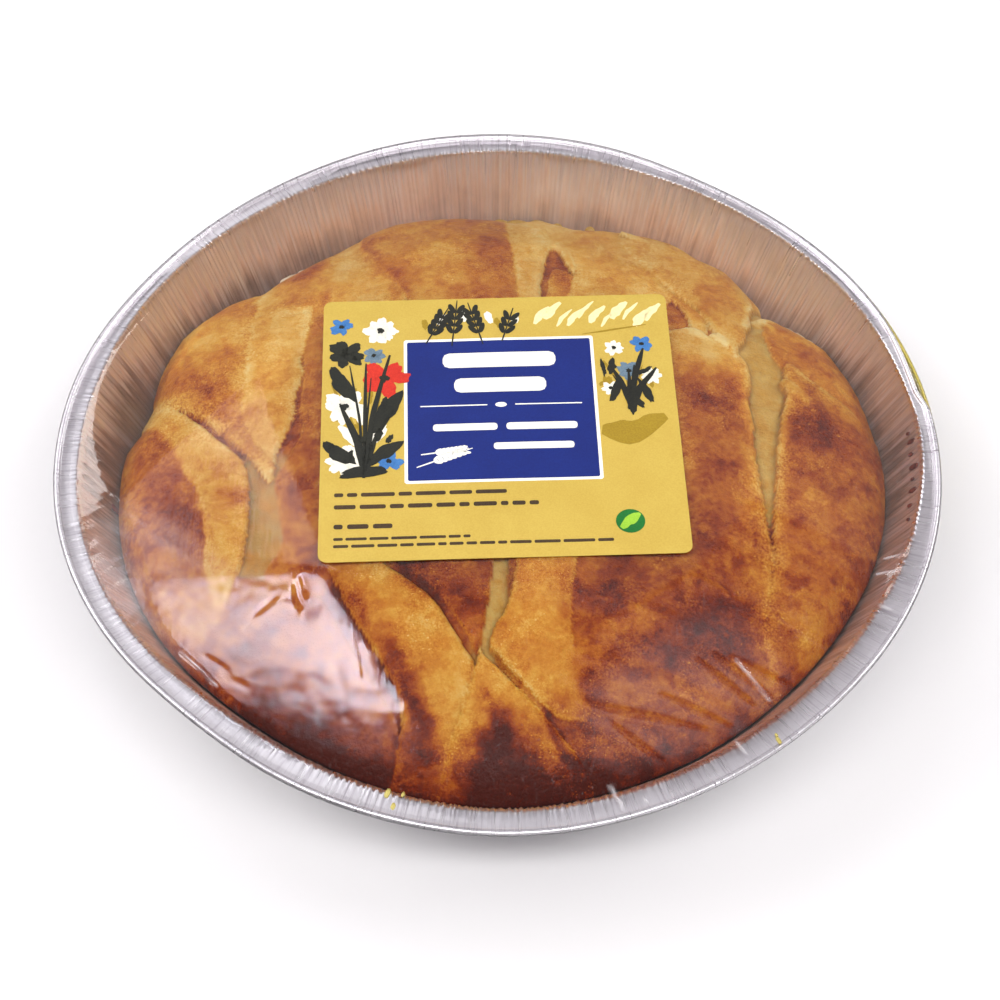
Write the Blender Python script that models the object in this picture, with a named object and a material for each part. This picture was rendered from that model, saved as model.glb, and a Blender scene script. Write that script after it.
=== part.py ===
"""Kouign amann: a folded butter pastry in its aluminium foil tin, under clear film, with two paper labels.

Origin: centre of the underside. +Z is up, the long edges of the top label lie roughly along X.
Five separate pieces: foil_tin, kouign_amann, film, top_label and side_label.
"""

import math

import bmesh
import bpy
import numpy as np

MM = 0.001

# Clearance that keeps touching pieces apart, and the thickness that thin sheet gets in this model
GAP = 0.3 * MM
SHEET = 0.3 * MM
FOIL = 0.5 * MM

# Round pieces are turned about Z with this many steps
STEPS = 72

# Foil tin: flat floor with a raised middle, round corner, sloping wall, flange, rolled bead
FLOOR_Z = 2 * GAP + SHEET - 0.05 * MM
PANEL_RADIUS = 50 * MM
PANEL_RISE = 0.6 * MM
CORNER_CENTRE = (77.6 * MM, FLOOR_Z + 3.0 * MM)
CORNER_RADIUS = 3.0 * MM
WALL_SPREAD = 0.518  # how far the wall leans out for each unit of height
WALL_TOP_Z = 30.0 * MM
FLANGE_INNER = 94.9 * MM
FLANGE_OUTER = 97.7 * MM
FLANGE_Z = (30.55 * MM, 31.05 * MM)
BEAD_CENTRE = (98.5 * MM, 31.6 * MM)
BEAD_RADIUS = 0.9 * MM

# The rim is bent a little by handling: four soft bulges, and one dent that the side label bridges
BULGE = 0.8 * MM
BULGE_TURN = math.radians(5)
DENT = 2.0 * MM
DENT_SPAN = (math.radians(4.5), math.radians(8.5), math.radians(24))
BEND_FROM, BEND_TO = 80 * MM, 97 * MM

# Pastry: dome over a shoulder, held just inside the tin's wall
PASTRY_FLOOR = FLOOR_Z + PANEL_RISE + FOIL / 2 + GAP
PASTRY_RADIUS = 88.4 * MM
PASTRY_TOP = 35.6 * MM
SHOULDER_Z = 13.0 * MM
SHOULDER_LIFT = 4.0 * MM  # the right side has risen higher than the rest
DOME_POWER, DOME_ROUND = 2.6, 0.625
WALL_CLEARANCE = 0.6 * MM
TOP_RINGS = 17  # rings of points over the top, closer together towards the shoulder
# Where the outline draws in between two folds: direction in degrees, depth, half width in degrees
OUTLINE_DIPS = (
    (168, 4.0 * MM, 6),
    (130, 6.5 * MM, 13),
    (84, 6.5 * MM, 15),
    (36, 6.0 * MM, 8),
    (-48, 2.5 * MM, 9),
    (-97, 2.0 * MM, 7),
    (-142, 2.5 * MM, 8),
)

# Film: drawn flat over the middle, down to the bead, round it, and in under the base
FILM_TOP = 37.3 * MM
FILM_FLAT_RADIUS = 56 * MM
FILM_HOLE_RADIUS = 58 * MM

# Labels
LABEL_SIZE = (80.5 * MM, 75.0 * MM)
LABEL_CENTRE = (0.8 * MM, 0.3 * MM)
LABEL_TURN = math.radians(1.9)
LABEL_CORNER = 2.0 * MM
SIDE_LABEL_ARC = (math.radians(4.5), math.radians(27))
SIDE_LABEL_LENGTH = 24 * MM
SIDE_LABEL_STAND = 0.35 * MM

# The folds of dough on the dome, in millimetres. Each is a leaf from its root near the tin's wall to
# its tip near the middle: (root, tip, half width on its left, on its right, how blunt the ends are,
# how high it lies). Bluntness 1 is a point and 4 is nearly square.
FOLDS = {
    "outer_left": ((-84, 14), (-50, -64), 13, 11, (2.0, 2.0), 1.0),
    "middle_left": ((-79, 16), (-57, -46), 8, 9, (1.3, 2.5), 1.9),
    "upper_left": ((-73, 50), (-56, -6), 9, 13, (2.5, 1.2), 2.1),
    "pale_strip": ((-53, 45), (-50, -13), 6, 6, (2.5, 1.6), 1.6),
    "back_left": ((-53, 62), (-36, 24), 10, 11, (2.5, 2.0), 1.0),
    "back": ((-14, 84), (-10, 16), 17, 18, (3.5, 3.0), 1.9),
    "back_strip": ((8, 82), (7, 24), 5, 5, (3.0, 2.0), 1.5),
    "back_leaf": ((21, 72), (24, 38), 5, 6, (2.0, 1.5), 1.4),
    "upper_right": ((36, 80), (56, 25), 14, 13, (3.0, 1.2), 2.3),
    "right_rim": ((76, 42), (90, -2), 7, 7, (2.0, 1.5), 1.2),
    "right_inner": ((50, 32), (50, -42), 10, 9, (3.5, 2.5), 2.1),
    "right_outer": ((69, 24), (70, -48), 19, 7, (1.3, 2.5), 2.2),
    "lower_right": ((50, -72), (25, -30), 15, 20, (3.0, 3.0), 2.0),
    "gold_strip": ((15, -76), (9, -30), 7, 7, (2.0, 3.0), 1.8),
    "front_point": ((4, -88), (-3, -58), 12, 12, (3.5, 1.1), 2.3),
    "front_left_strip": ((-13, -84), (-32, -34), 7, 7, (2.5, 2.5), 2.0),
    "front_inner": ((-5, -57), (-20, -33), 6, 5, (1.5, 3.0), 1.2),
    "front_left": ((-46, -70), (-41, -33), 13, 12, (3.0, 2.5), 1.1),
    "lower_rim": ((64, -60), (57, -30), 7, 8, (2.5, 2.0), 1.0),
}


def fade(value, low, high):
    """0 below low, 1 above high, and a soft step between them."""
    t = np.clip((value - low) / (high - low), 0.0, 1.0)
    return t * t * (3 - 2 * t)


def bent(radius, angle):
    """The radius of a point after the rim's bulges and its dent, which fade out towards the base."""
    turn = (angle + math.pi) % (2 * math.pi) - math.pi
    start, deepest, end = DENT_SPAN
    dent = DENT * fade(turn, start, deepest) * (1 - fade(turn, deepest, end))
    bulge = BULGE * np.cos(4 * (turn - BULGE_TURN))
    return radius + fade(radius, BEND_FROM, BEND_TO) * (bulge - dent)


def arc(centre, radius, start_deg, end_deg, steps):
    """Points on an arc in the (radius, height) plane."""
    angles = np.radians(np.linspace(start_deg, end_deg, steps + 1))
    return [(centre[0] + radius * math.cos(a), centre[1] + radius * math.sin(a)) for a in angles]


def offset(points, distance):
    """The profile moved sideways by distance, to the left of its direction of travel."""
    p = np.array(points)
    along = np.gradient(p, axis=0)
    along /= np.linalg.norm(along, axis=1, keepdims=True)
    moved = p + distance * np.stack([-along[:, 1], along[:, 0]], axis=1)
    moved[p[:, 0] == 0, 0] = 0
    return [tuple(q) for q in moved]


def tangent_angle(centre_a, radius_a, centre_b, radius_b):
    """Direction, in degrees, of the normal of the line that touches both circles on their outer side."""
    dx, dz = centre_b[0] - centre_a[0], centre_b[1] - centre_a[1]
    swing = math.acos((radius_a - radius_b) / math.hypot(dx, dz))
    return math.degrees(math.atan2(dz, dx) - swing)


def make_material(name, colour, roughness, metallic=0.0, alpha=1.0):
    material = bpy.data.materials.new(name)
    material.use_nodes = True
    shader = material.node_tree.nodes["Principled BSDF"]
    shader.inputs["Base Color"].default_value = (*colour, 1.0)
    shader.inputs["Roughness"].default_value = roughness
    shader.inputs["Metallic"].default_value = metallic
    shader.inputs["Alpha"].default_value = alpha
    return material


def add_object(name, mesh_builder, material, smooth_deg=35):
    """Turn a filled bmesh into a named, shaded object."""
    mesh = bpy.data.meshes.new(name)
    bmesh.ops.recalc_face_normals(mesh_builder, faces=mesh_builder.faces)
    mesh_builder.to_mesh(mesh)
    mesh_builder.free()
    mesh.materials.append(material)
    mesh.shade_smooth()
    mesh.set_sharp_from_angle(angle=math.radians(smooth_deg))
    thing = bpy.data.objects.new(name, mesh)
    bpy.context.scene.collection.objects.link(thing)
    return thing


def turned(rows, steps=STEPS):
    """A closed body of rows of points about Z. rows is a list of functions of the angle that give
    (radius, height), and the first and last row are single points on the axis."""
    bm = bmesh.new()
    angles = [2 * math.pi * k / steps for k in range(steps)]
    first = bm.verts.new((0, 0, rows[0](0.0)[1]))
    last = bm.verts.new((0, 0, rows[-1](0.0)[1]))
    rings = []
    for row in rows[1:-1]:
        ring = []
        for angle in angles:
            radius, height = row(angle)
            radius = bent(radius, angle)
            ring.append(bm.verts.new((radius * math.cos(angle), radius * math.sin(angle), height)))
        rings.append(ring)
    for k in range(steps):
        after = (k + 1) % steps
        bm.faces.new((first, rings[0][k], rings[0][after]))
        for near, far in zip(rings, rings[1:]):
            bm.faces.new((near[k], far[k], far[after], near[after]))
        bm.faces.new((last, rings[-1][after], rings[-1][k]))
    return bm


def plain_rows(profile):
    """Rows for a profile that is the same all round."""
    return [lambda angle, p=p: p for p in profile]


# ---------------------------------------------------------------- foil tin


def wall_radius(height):
    """Radius of the tin wall's middle line at a height."""
    lean = math.atan(WALL_SPREAD)
    foot = CORNER_CENTRE[0] + CORNER_RADIUS * math.cos(lean)
    foot_z = CORNER_CENTRE[1] - CORNER_RADIUS * math.sin(lean)
    return foot + WALL_SPREAD * (height - foot_z)


def tin_profile():
    """The foil's middle line from the centre of the floor to the bead."""
    lean = math.degrees(math.atan(WALL_SPREAD))
    centre_line = [(0.0, FLOOR_Z + PANEL_RISE), (PANEL_RADIUS, FLOOR_Z + PANEL_RISE)]
    centre_line += [(PANEL_RADIUS + 1.5 * MM, FLOOR_Z)]
    centre_line += arc(CORNER_CENTRE, CORNER_RADIUS, -90, -lean, 2)
    centre_line += [(wall_radius(16 * MM), 16 * MM), (wall_radius(WALL_TOP_Z), WALL_TOP_Z)]
    centre_line += [(FLANGE_INNER, FLANGE_Z[0]), (FLANGE_OUTER - 0.4 * MM, FLANGE_Z[1])]
    return centre_line


def build_foil_tin(material):
    centre_line = tin_profile()
    under = offset(centre_line, -FOIL / 2)
    over = offset(centre_line, FOIL / 2)
    bead = arc(BEAD_CENTRE, BEAD_RADIUS, -130, 145, 5)
    return add_object("foil_tin", turned(plain_rows(under + bead + over[::-1])), material)


# ---------------------------------------------------------------- pastry


def outline_radius(angle):
    """How far the pastry reaches in a direction."""
    degrees = np.degrees(angle)
    reach = PASTRY_RADIUS + 0.0 * degrees
    for direction, depth, half_width in OUTLINE_DIPS:
        away = (degrees - direction + 180) % 360 - 180
        reach = reach - depth * np.exp(-((away / half_width) ** 2))
    return reach


def dome_height(x, y):
    """The pastry's skin before its folds: a dome that turns down at the shoulder."""
    angle = np.arctan2(y, x)
    share = np.clip(np.hypot(x, y) / outline_radius(angle), 0.0, 1.0)
    shoulder = SHOULDER_Z + SHOULDER_LIFT * np.exp(-((angle / 0.9) ** 2))
    return shoulder + (PASTRY_TOP - shoulder) * (1 - share**DOME_POWER) ** DOME_ROUND


def fold_height(x, y, fold):
    """How far a fold stands above the dome at a point: crowned inside its leaf outline, 0 outside."""
    root, tip, left, right, (root_blunt, tip_blunt), level = fold
    root, tip = np.array(root) * MM, np.array(tip) * MM
    length = np.linalg.norm(tip - root)
    along = (tip - root) / length
    t = ((x - root[0]) * along[0] + (y - root[1]) * along[1]) / length
    side = (y - root[1]) * along[0] - (x - root[0]) * along[1]
    blunt = np.where(t < 0.5, root_blunt, tip_blunt)
    taper = 1 - np.clip(np.abs(2 * t - 1), 0, 1) ** blunt
    half = np.where(side > 0, left, right) * MM * taper
    inside = 1 - np.abs(side) / np.maximum(half, 1e-6)
    return level * MM * fade(inside, 0.0, 0.35) * (0.8 + 0.2 * fade(inside, 0.2, 1.0))


def film_under_side(radius):
    """Height of the film's lower face above a point at this radius."""
    drop = (FILM_TOP - (BEAD_CENTRE[1] + BEAD_RADIUS + GAP + SHEET)) * np.clip(
        (radius - FILM_FLAT_RADIUS) / (BEAD_CENTRE[0] - FILM_FLAT_RADIUS), 0, 1
    )
    return FILM_TOP - SHEET - drop


def pastry_height(x, y):
    """The pastry's upper skin with its folds, kept clear of the film."""
    folds = [fold_height(x, y, fold) for fold in FOLDS.values()]
    skin = dome_height(x, y) + np.max(folds, axis=0)
    return np.minimum(skin, film_under_side(np.hypot(x, y)) - 1.3 * GAP)


def inner_wall(height):
    """The largest radius the pastry may have at a height inside the tin."""
    return wall_radius(height) - FOIL / 2 - WALL_CLEARANCE


def build_pastry(material):
    rows = [lambda angle: (0.0, PASTRY_FLOOR)]
    rows.append(lambda angle: (inner_wall(PASTRY_FLOOR) - 3.5 * MM, PASTRY_FLOOR))
    for height in (PASTRY_FLOOR + 2.0 * MM, 8 * MM, SHOULDER_Z - 1.5 * MM):
        rows.append(lambda angle, z=height: (min(inner_wall(z), outline_radius(angle)), z))
    for k in range(TOP_RINGS, 0, -1):

        def top_row(angle, share=math.sin(math.pi / 2 * k / TOP_RINGS)):
            radius = share * outline_radius(angle)
            height = pastry_height(radius * math.cos(angle), radius * math.sin(angle))
            return (min(radius, inner_wall(height)), float(height))

        rows.append(top_row)
    rows.append(lambda angle: (0.0, float(pastry_height(0.0, 0.0))))
    return add_object("kouign_amann", turned(rows), material, smooth_deg=60)


# ---------------------------------------------------------------- film


def skirt_angle():
    """Direction of the outward normal of the film's side, between the bead and the base corner."""
    bead = BEAD_RADIUS + GAP + SHEET
    corner = CORNER_RADIUS + FOIL / 2 + GAP + SHEET
    return tangent_angle(CORNER_CENTRE, corner, BEAD_CENTRE, bead)


def build_film(material):
    bead = BEAD_RADIUS + GAP + SHEET
    corner = CORNER_RADIUS + FOIL / 2 + GAP + SHEET
    reach = math.hypot(BEAD_CENTRE[0] - FILM_FLAT_RADIUS, FILM_TOP - BEAD_CENTRE[1])
    toward_flat = math.atan2(FILM_TOP - BEAD_CENTRE[1], FILM_FLAT_RADIUS - BEAD_CENTRE[0])
    leaves_bead = math.degrees(toward_flat - math.acos(bead / reach))
    outer = [(0.0, FILM_TOP), (28 * MM, FILM_TOP), (FILM_FLAT_RADIUS, FILM_TOP)]
    outer += arc(BEAD_CENTRE, bead, leaves_bead, skirt_angle(), 4)
    outer += arc(CORNER_CENTRE, corner, skirt_angle(), -90, 2)
    outer += [(FILM_HOLE_RADIUS, CORNER_CENTRE[1] - corner)]
    inner = offset(outer, -SHEET)
    return add_object("film", turned(plain_rows(outer + inner[::-1])), material)


# ---------------------------------------------------------------- labels


def build_top_label(material):
    """A rounded rectangle of paper that lies on the film over the middle of the pastry."""
    bm = bmesh.new()
    half_w, half_h = LABEL_SIZE[0] / 2 - LABEL_CORNER, LABEL_SIZE[1] / 2 - LABEL_CORNER
    corners = ((half_w, half_h, 0), (-half_w, half_h, 90), (-half_w, -half_h, 180), (half_w, -half_h, 270))
    outline = []
    for cx, cy, start in corners:
        outline += arc((cx, cy), LABEL_CORNER, start, start + 90, 4)
    low = FILM_TOP + GAP
    cos_t, sin_t = math.cos(LABEL_TURN), math.sin(LABEL_TURN)
    verts = []
    for x, y in outline:
        place = (LABEL_CENTRE[0] + x * cos_t - y * sin_t, LABEL_CENTRE[1] + x * sin_t + y * cos_t, low)
        verts.append(bm.verts.new(place))
    sheet = bm.faces.new(verts)
    raised = bmesh.ops.extrude_face_region(bm, geom=[sheet])
    lifted = [item for item in raised["geom"] if isinstance(item, bmesh.types.BMVert)]
    bmesh.ops.translate(bm, verts=lifted, vec=(0, 0, SHEET))
    return add_object("top_label", bm, material)


def build_side_label(material):
    """A paper label on the film's side, from the bead down. It bridges the rim's dent, so a strip of it
    shows outside the rim from above."""
    normal = math.radians(skirt_angle())
    bead = BEAD_RADIUS + GAP + SHEET
    face = [(BEAD_CENTRE[0] + bead + BULGE + SIDE_LABEL_STAND, BEAD_CENTRE[1] + 0.5 * MM)]
    for down in np.linspace(0, SIDE_LABEL_LENGTH, 5):
        out = bead + BULGE + SIDE_LABEL_STAND
        r = BEAD_CENTRE[0] + out * math.cos(normal) + down * math.sin(normal)
        z = BEAD_CENTRE[1] + out * math.sin(normal) - down * math.cos(normal)
        face.append((r, z))
    section = face + offset(face, SHEET)[::-1]
    bm = bmesh.new()
    rings = []
    for angle in np.linspace(*SIDE_LABEL_ARC, 7):
        rings.append([bm.verts.new((r * math.cos(angle), r * math.sin(angle), z)) for r, z in section])
    count = len(section)
    for near, far in zip(rings, rings[1:]):
        for k in range(count):
            after = (k + 1) % count
            bm.faces.new((near[k], far[k], far[after], near[after]))
    # The two ends are thin strips, closed with one quad for each stretch of the section
    for ring in (rings[0], rings[-1]):
        for k in range(len(face) - 1):
            bm.faces.new((ring[k], ring[k + 1], ring[count - 2 - k], ring[count - 1 - k]))
    return add_object("side_label", bm, material)


def main():
    for thing in list(bpy.data.objects):
        bpy.data.objects.remove(thing, do_unlink=True)
    build_foil_tin(make_material("foil", (0.80, 0.78, 0.79), 0.32, metallic=1.0))
    build_pastry(make_material("pastry", (0.58, 0.27, 0.09), 0.5))
    build_film(make_material("film", (0.95, 0.94, 0.95), 0.05, alpha=0.25))
    build_top_label(make_material("label_paper", (0.80, 0.60, 0.14), 0.45))
    build_side_label(make_material("side_paper", (0.72, 0.62, 0.12), 0.45))


main()
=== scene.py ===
# %% [markdown]
# # A kouign amann in its foil tin
#
# A kouign amann is a round Breton pastry of bread dough, butter and sugar. The dough is folded over
# itself many times, so its top is a fan of broad leaves with pale, flaky edges. This one is sold in a
# pleated foil tin, wrapped in clear film, with a paper label on top and a small one on the side.
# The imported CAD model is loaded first: it fixes the size and the place of every piece.

import math

import bpy
import numpy as np
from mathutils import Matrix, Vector
from mathutils.geometry import delaunay_2d_cdt


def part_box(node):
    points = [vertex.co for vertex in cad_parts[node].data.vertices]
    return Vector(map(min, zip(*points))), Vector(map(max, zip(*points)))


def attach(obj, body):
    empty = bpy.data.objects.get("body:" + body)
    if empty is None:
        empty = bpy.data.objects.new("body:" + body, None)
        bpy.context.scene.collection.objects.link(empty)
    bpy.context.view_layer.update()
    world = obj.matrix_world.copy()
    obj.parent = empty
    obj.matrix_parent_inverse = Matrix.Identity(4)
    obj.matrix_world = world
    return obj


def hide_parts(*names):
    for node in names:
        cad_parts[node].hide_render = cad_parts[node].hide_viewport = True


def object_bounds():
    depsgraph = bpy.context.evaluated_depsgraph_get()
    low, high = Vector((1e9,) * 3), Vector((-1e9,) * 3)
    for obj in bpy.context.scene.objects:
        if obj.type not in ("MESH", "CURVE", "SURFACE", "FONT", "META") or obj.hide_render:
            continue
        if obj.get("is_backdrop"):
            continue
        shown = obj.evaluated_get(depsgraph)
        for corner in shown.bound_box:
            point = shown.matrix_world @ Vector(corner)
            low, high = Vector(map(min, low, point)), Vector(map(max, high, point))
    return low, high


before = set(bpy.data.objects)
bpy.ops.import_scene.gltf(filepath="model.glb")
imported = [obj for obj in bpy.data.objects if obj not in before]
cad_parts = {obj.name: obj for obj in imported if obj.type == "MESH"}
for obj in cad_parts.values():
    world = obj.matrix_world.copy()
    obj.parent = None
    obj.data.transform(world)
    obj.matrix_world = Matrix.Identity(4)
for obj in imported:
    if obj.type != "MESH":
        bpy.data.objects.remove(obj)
cad_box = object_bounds()
MM = 0.001

tin_low, tin_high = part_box("foil_tin")
film_low, film_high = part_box("film")
label_low, label_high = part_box("top_label")
RIM_TOP = tin_high.z
FILM_TOP = film_high.z
print("rim at", round(RIM_TOP / MM, 2), "mm, film at", round(FILM_TOP / MM, 2), "mm")

# %% [markdown]
# ## Tools for shaping
#
# Dough, film and foil are never quite regular. A few small tools give that: a soft step that blends
# two values, a steady noise that gives the same bumps at every run, turns and places round a circle,
# and a signed depth that says how far a point lies inside an outline. They work on whole numpy
# arrays, so fine meshes stay quick.

# %% Soft step and steady noise


def fade(value, low, high):
    """0 below low, 1 above high, and a soft step between them."""
    t = np.clip((value - low) / (high - low), 0.0, 1.0)
    return t * t * (3 - 2 * t)


def lattice(i, j, k, seed):
    """A steady random number from 0 to 1 for each whole point of a lattice."""
    n = (i * 374761393 + j * 668265263 + k * 1440662683 + seed * 914744165) & 0xFFFFFFFF
    n = ((n ^ (n >> 13)) * 1274126177) & 0xFFFFFFFF
    return ((n ^ (n >> 16)) & 0xFFFF) / 0xFFFF


def mottle(x, y, z, size, seed):
    """Soft noise from -1 to 1 with bumps about `size` across."""
    spots = [np.asarray(v, float) / size + 1000.0 for v in np.broadcast_arrays(x, y, z)]
    cells = [np.floor(s).astype(np.int64) for s in spots]
    u, v, w = [(s - c) * (s - c) * (3 - 2 * (s - c)) for s, c in zip(spots, cells)]
    level = 0.0
    for di in (0, 1):
        for dj in (0, 1):
            for dk in (0, 1):
                share = (u if di else 1 - u) * (v if dj else 1 - v) * (w if dk else 1 - w)
                level = level + share * lattice(cells[0] + di, cells[1] + dj, cells[2] + dk, seed)
    return 2 * level - 1


def bump_sum(x, y, z, size, seed, layers=3):
    """Noise in several sizes on top of each other, each half as large and half as strong."""
    return sum(mottle(x, y, z, size / 2**n, seed + n) / 2**n for n in range(layers))


print("noise at one point:", round(float(mottle(0.3, 0.2, 0.1, 1.0, 5)), 3))

# %% Circles, turns and polar places


def circle(number):
    """Angles of evenly spaced points round a circle."""
    return np.arange(number) * 2 * math.pi / number


def turned(x, y, degrees):
    """x and y turned anticlockwise about the middle."""
    c, s = math.cos(math.radians(degrees)), math.sin(math.radians(degrees))
    return x * c - y * s, x * s + y * c


def polar(radius, angle, height):
    """Points from a radius, an angle and a height."""
    return np.stack(np.broadcast_arrays(radius * np.cos(angle), radius * np.sin(angle), height), -1)


print("a quarter turn:", [round(v, 3) for v in turned(1, 0, 90)])

# %% Outlines and how deep a point lies in one


def smooth_loop(corners, cuts=6):
    """A closed smooth curve through a few corner points."""
    p = np.array(corners, float)
    before, after, later = np.roll(p, 1, 0), np.roll(p, -1, 0), np.roll(p, -2, 0)
    rows = []
    for t in np.arange(cuts) / cuts:
        bend = (2 * before - 5 * p + 4 * after - later) * t**2
        twist = (3 * p - before - 3 * after + later) * t**3
        rows.append(0.5 * (2 * p + (after - before) * t + bend + twist))
    return np.stack(rows, 1).reshape(-1, 2)


def depth_inside(x, y, loop):
    """Distance to the loop's edge: positive inside it, negative outside."""
    nearest = np.full(x.shape, 1e9)
    inside = np.zeros(x.shape, bool)
    for (ax, ay), (bx, by) in zip(loop, np.roll(loop, -1, 0)):
        ex, ey = bx - ax, by - ay
        t = np.clip(((x - ax) * ex + (y - ay) * ey) / (ex * ex + ey * ey + 1e-12), 0, 1)
        nearest = np.minimum(nearest, (x - ax - t * ex) ** 2 + (y - ay - t * ey) ** 2)
        if ay != by:
            inside ^= ((ay > y) != (by > y)) & (x < ax + ex * (y - ay) / ey)
    return np.where(inside, 1, -1) * np.sqrt(nearest)


# %% [markdown]
# ## Tools for meshes
#
# Most pieces here are round, so they are made as rings of points that are laced together. Two rings
# may hold different numbers of points, which keeps the cells of a wide disc about equally small.

# %% Rings into faces


def lace(inner, outer):
    """Faces between two closed rings of point numbers that both start at angle 0."""
    a, b = len(inner), len(outer)
    if a == b:
        return [(inner[i], outer[i], outer[(i + 1) % a], inner[(i + 1) % a]) for i in range(a)]
    faces, i, j = [], 0, 0
    while i < a or j < b:
        if j >= b or (i < a and (i + 1) * b < (j + 1) * a):
            faces.append((inner[i % a], outer[j % b], inner[(i + 1) % a]))
            i += 1
        else:
            faces.append((inner[i % a], outer[j % b], outer[(j + 1) % b]))
            j += 1
    return faces


def laced(rings):
    """Faces between each ring and the next one outward."""
    return [face for near, far in zip(rings, rings[1:]) for face in lace(near, far)]


def flipped(faces):
    """The same faces, seen from the other side."""
    return [tuple(reversed(face)) for face in faces]


def numbered(rings, start=0):
    """The point numbers of rings that follow each other in one mesh."""
    starts = start + np.cumsum([0] + [len(ring) for ring in rings])
    return [np.arange(first, end) for first, end in zip(starts, starts[1:])]


def fan(ring, tip, upward=True):
    """Triangles from a ring to one point at its middle."""
    n = len(ring)
    if upward:
        return [(tip, ring[i], ring[(i + 1) % n]) for i in range(n)]
    return [(tip, ring[(i + 1) % n], ring[i]) for i in range(n)]


def piece(name, points, faces, material, replaces=(), flat=False):
    """A named mesh that rides on the one body, with its finish and the CAD node it stands for."""
    mesh = bpy.data.meshes.new(name)
    mesh.from_pydata(np.asarray(points, float).tolist(), [], [tuple(map(int, f)) for f in faces])
    mesh.validate()
    mesh.materials.append(material)
    if not flat:
        mesh.shade_smooth()
    thing = bpy.data.objects.new(name, mesh)
    bpy.context.scene.collection.objects.link(thing)
    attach(thing, "root")
    if replaces:
        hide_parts(*replaces)
    triangles = sum(len(f) - 2 for f in faces)
    print(name, len(mesh.vertices), "points,", triangles, "triangles")
    return thing


def store(thing, name, values):
    """Keeps one number, or one vector, for each point of a mesh, for its material to read."""
    values = np.asarray(values, np.float32)
    kind, key = ("FLOAT", "value") if values.ndim == 1 else ("FLOAT_VECTOR", "vector")
    attribute = thing.data.attributes.new(name, kind, "POINT")
    attribute.data.foreach_set(key, values.ravel())


# %% [markdown]
# ## Tools for finishes
#
# Every finish is a small tree of nodes. These helpers add a node with its settings in one line and
# join two sockets. Colours are written as a painter reads them, 0 to 255, and turned into the linear
# light values that the shader wants.

# %% Node helpers


def tint(red, green, blue):
    """A colour for the shader from 0 to 255 display values."""
    return tuple((c / 255) ** 2.2 for c in (red, green, blue)) + (1.0,)


def begin(name, **sockets):
    """A new material, its node tree and its Principled shader, with values on the sockets named."""
    material = bpy.data.materials.new(name)
    material.use_nodes = True
    shader = material.node_tree.nodes["Principled BSDF"]
    for key, value in sockets.items():
        shader.inputs[key.replace("_", " ")].default_value = value
    return material, material.node_tree, shader


def add(tree, kind, settings=(), **sockets):
    """A node with its settings, and with values on the sockets that are named."""
    made = tree.nodes.new(kind)
    for key, value in dict(settings).items():
        setattr(made, key, value)
    for key, value in sockets.items():
        made.inputs[key.replace("_", " ")].default_value = value
    return made


def noise(tree, size, detail=3.0, roughness=0.55, vector=None):
    """Noise with spots about `size` metres across."""
    made = add(tree, "ShaderNodeTexNoise", Scale=1 / size, Detail=detail, Roughness=roughness)
    if vector is None:
        vector = add(tree, "ShaderNodeTexCoord").outputs["Object"]
    tree.links.new(vector, made.inputs["Vector"])
    return made.outputs["Fac"]


def maths(tree, operation, *values, clamp=False):
    """One sum, product or other step of arithmetic on sockets and numbers."""
    made = add(tree, "ShaderNodeMath", {"operation": operation, "use_clamp": clamp})
    for socket, value in zip(made.inputs, values):
        if isinstance(value, (int, float)):
            socket.default_value = value
        else:
            tree.links.new(value, socket)
    return made.outputs[0]


def total(tree, first, *others, clamp=False):
    """The sum of several sockets, held between 0 and 1 if clamp is set."""
    for number, value in enumerate(others, 1):
        first = maths(tree, "ADD", first, value, clamp=clamp and number == len(others))
    return first


def span(tree, value, low, high, to_low=0.0, to_high=1.0):
    """Stretches a value from low..high to to_low..to_high, and holds it inside that."""
    made = add(tree, "ShaderNodeMapRange", {"interpolation_type": "SMOOTHSTEP"})
    for key, number in (("From Min", low), ("From Max", high), ("To Min", to_low), ("To Max", to_high)):
        made.inputs[key].default_value = number
    tree.links.new(value, made.inputs["Value"])
    return made.outputs["Result"]


def ramp(tree, value, stops):
    """Colours along a scale from 0 to 1."""
    made = add(tree, "ShaderNodeValToRGB")
    band = made.color_ramp.elements
    while len(band) < len(stops):
        band.new(0.5)
    for element, (place, colour) in zip(band, stops):
        element.position = place
        element.color = colour
    tree.links.new(value, made.inputs["Fac"])
    return made.outputs["Color"]


def blend_colour(tree, share, first, second, how="MIX"):
    """Two colours mixed by a share, each a socket or a plain colour."""
    made = add(tree, "ShaderNodeMix", {"data_type": "RGBA", "blend_type": how})
    sockets = (made.inputs["Factor"], made.inputs[6], made.inputs[7])
    for socket, value in zip(sockets, (share, first, second)):
        if isinstance(value, (int, float, tuple)):
            socket.default_value = value
        else:
            tree.links.new(value, socket)
    return made.outputs[2]


def stored(tree, name, output="Fac"):
    """What store() kept on the mesh under this name."""
    return add(tree, "ShaderNodeAttribute", {"attribute_name": name}).outputs[output]


def relief(tree, shader, heights):
    """Fine relief for any shader: pairs of a height socket and a depth in metres."""
    normal = None
    for height, distance in heights:
        made = add(tree, "ShaderNodeBump", Strength=1.0, Distance=distance)
        tree.links.new(height, made.inputs["Height"])
        if normal is not None:
            tree.links.new(normal, made.inputs["Normal"])
        normal = made.outputs["Normal"]
    tree.links.new(normal, shader.inputs["Normal"])


# %% [markdown]
# ## Camera
#
# The camera looks down at the tin from the front, as someone does who leans over a counter. It stands
# close, so the near rim looks wider than the far one. It aims at a point in the plane of the rim.

# %% Camera over the counter

AIM = (0.8 * MM, -17.3 * MM, RIM_TOP - 0.9 * MM)
CAMERA_DISTANCE = 450 * MM
CAMERA_ELEVATION = math.radians(53.24)
CAMERA_LENS = 72.9
CAMERA_SENSOR = 36.0

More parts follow.
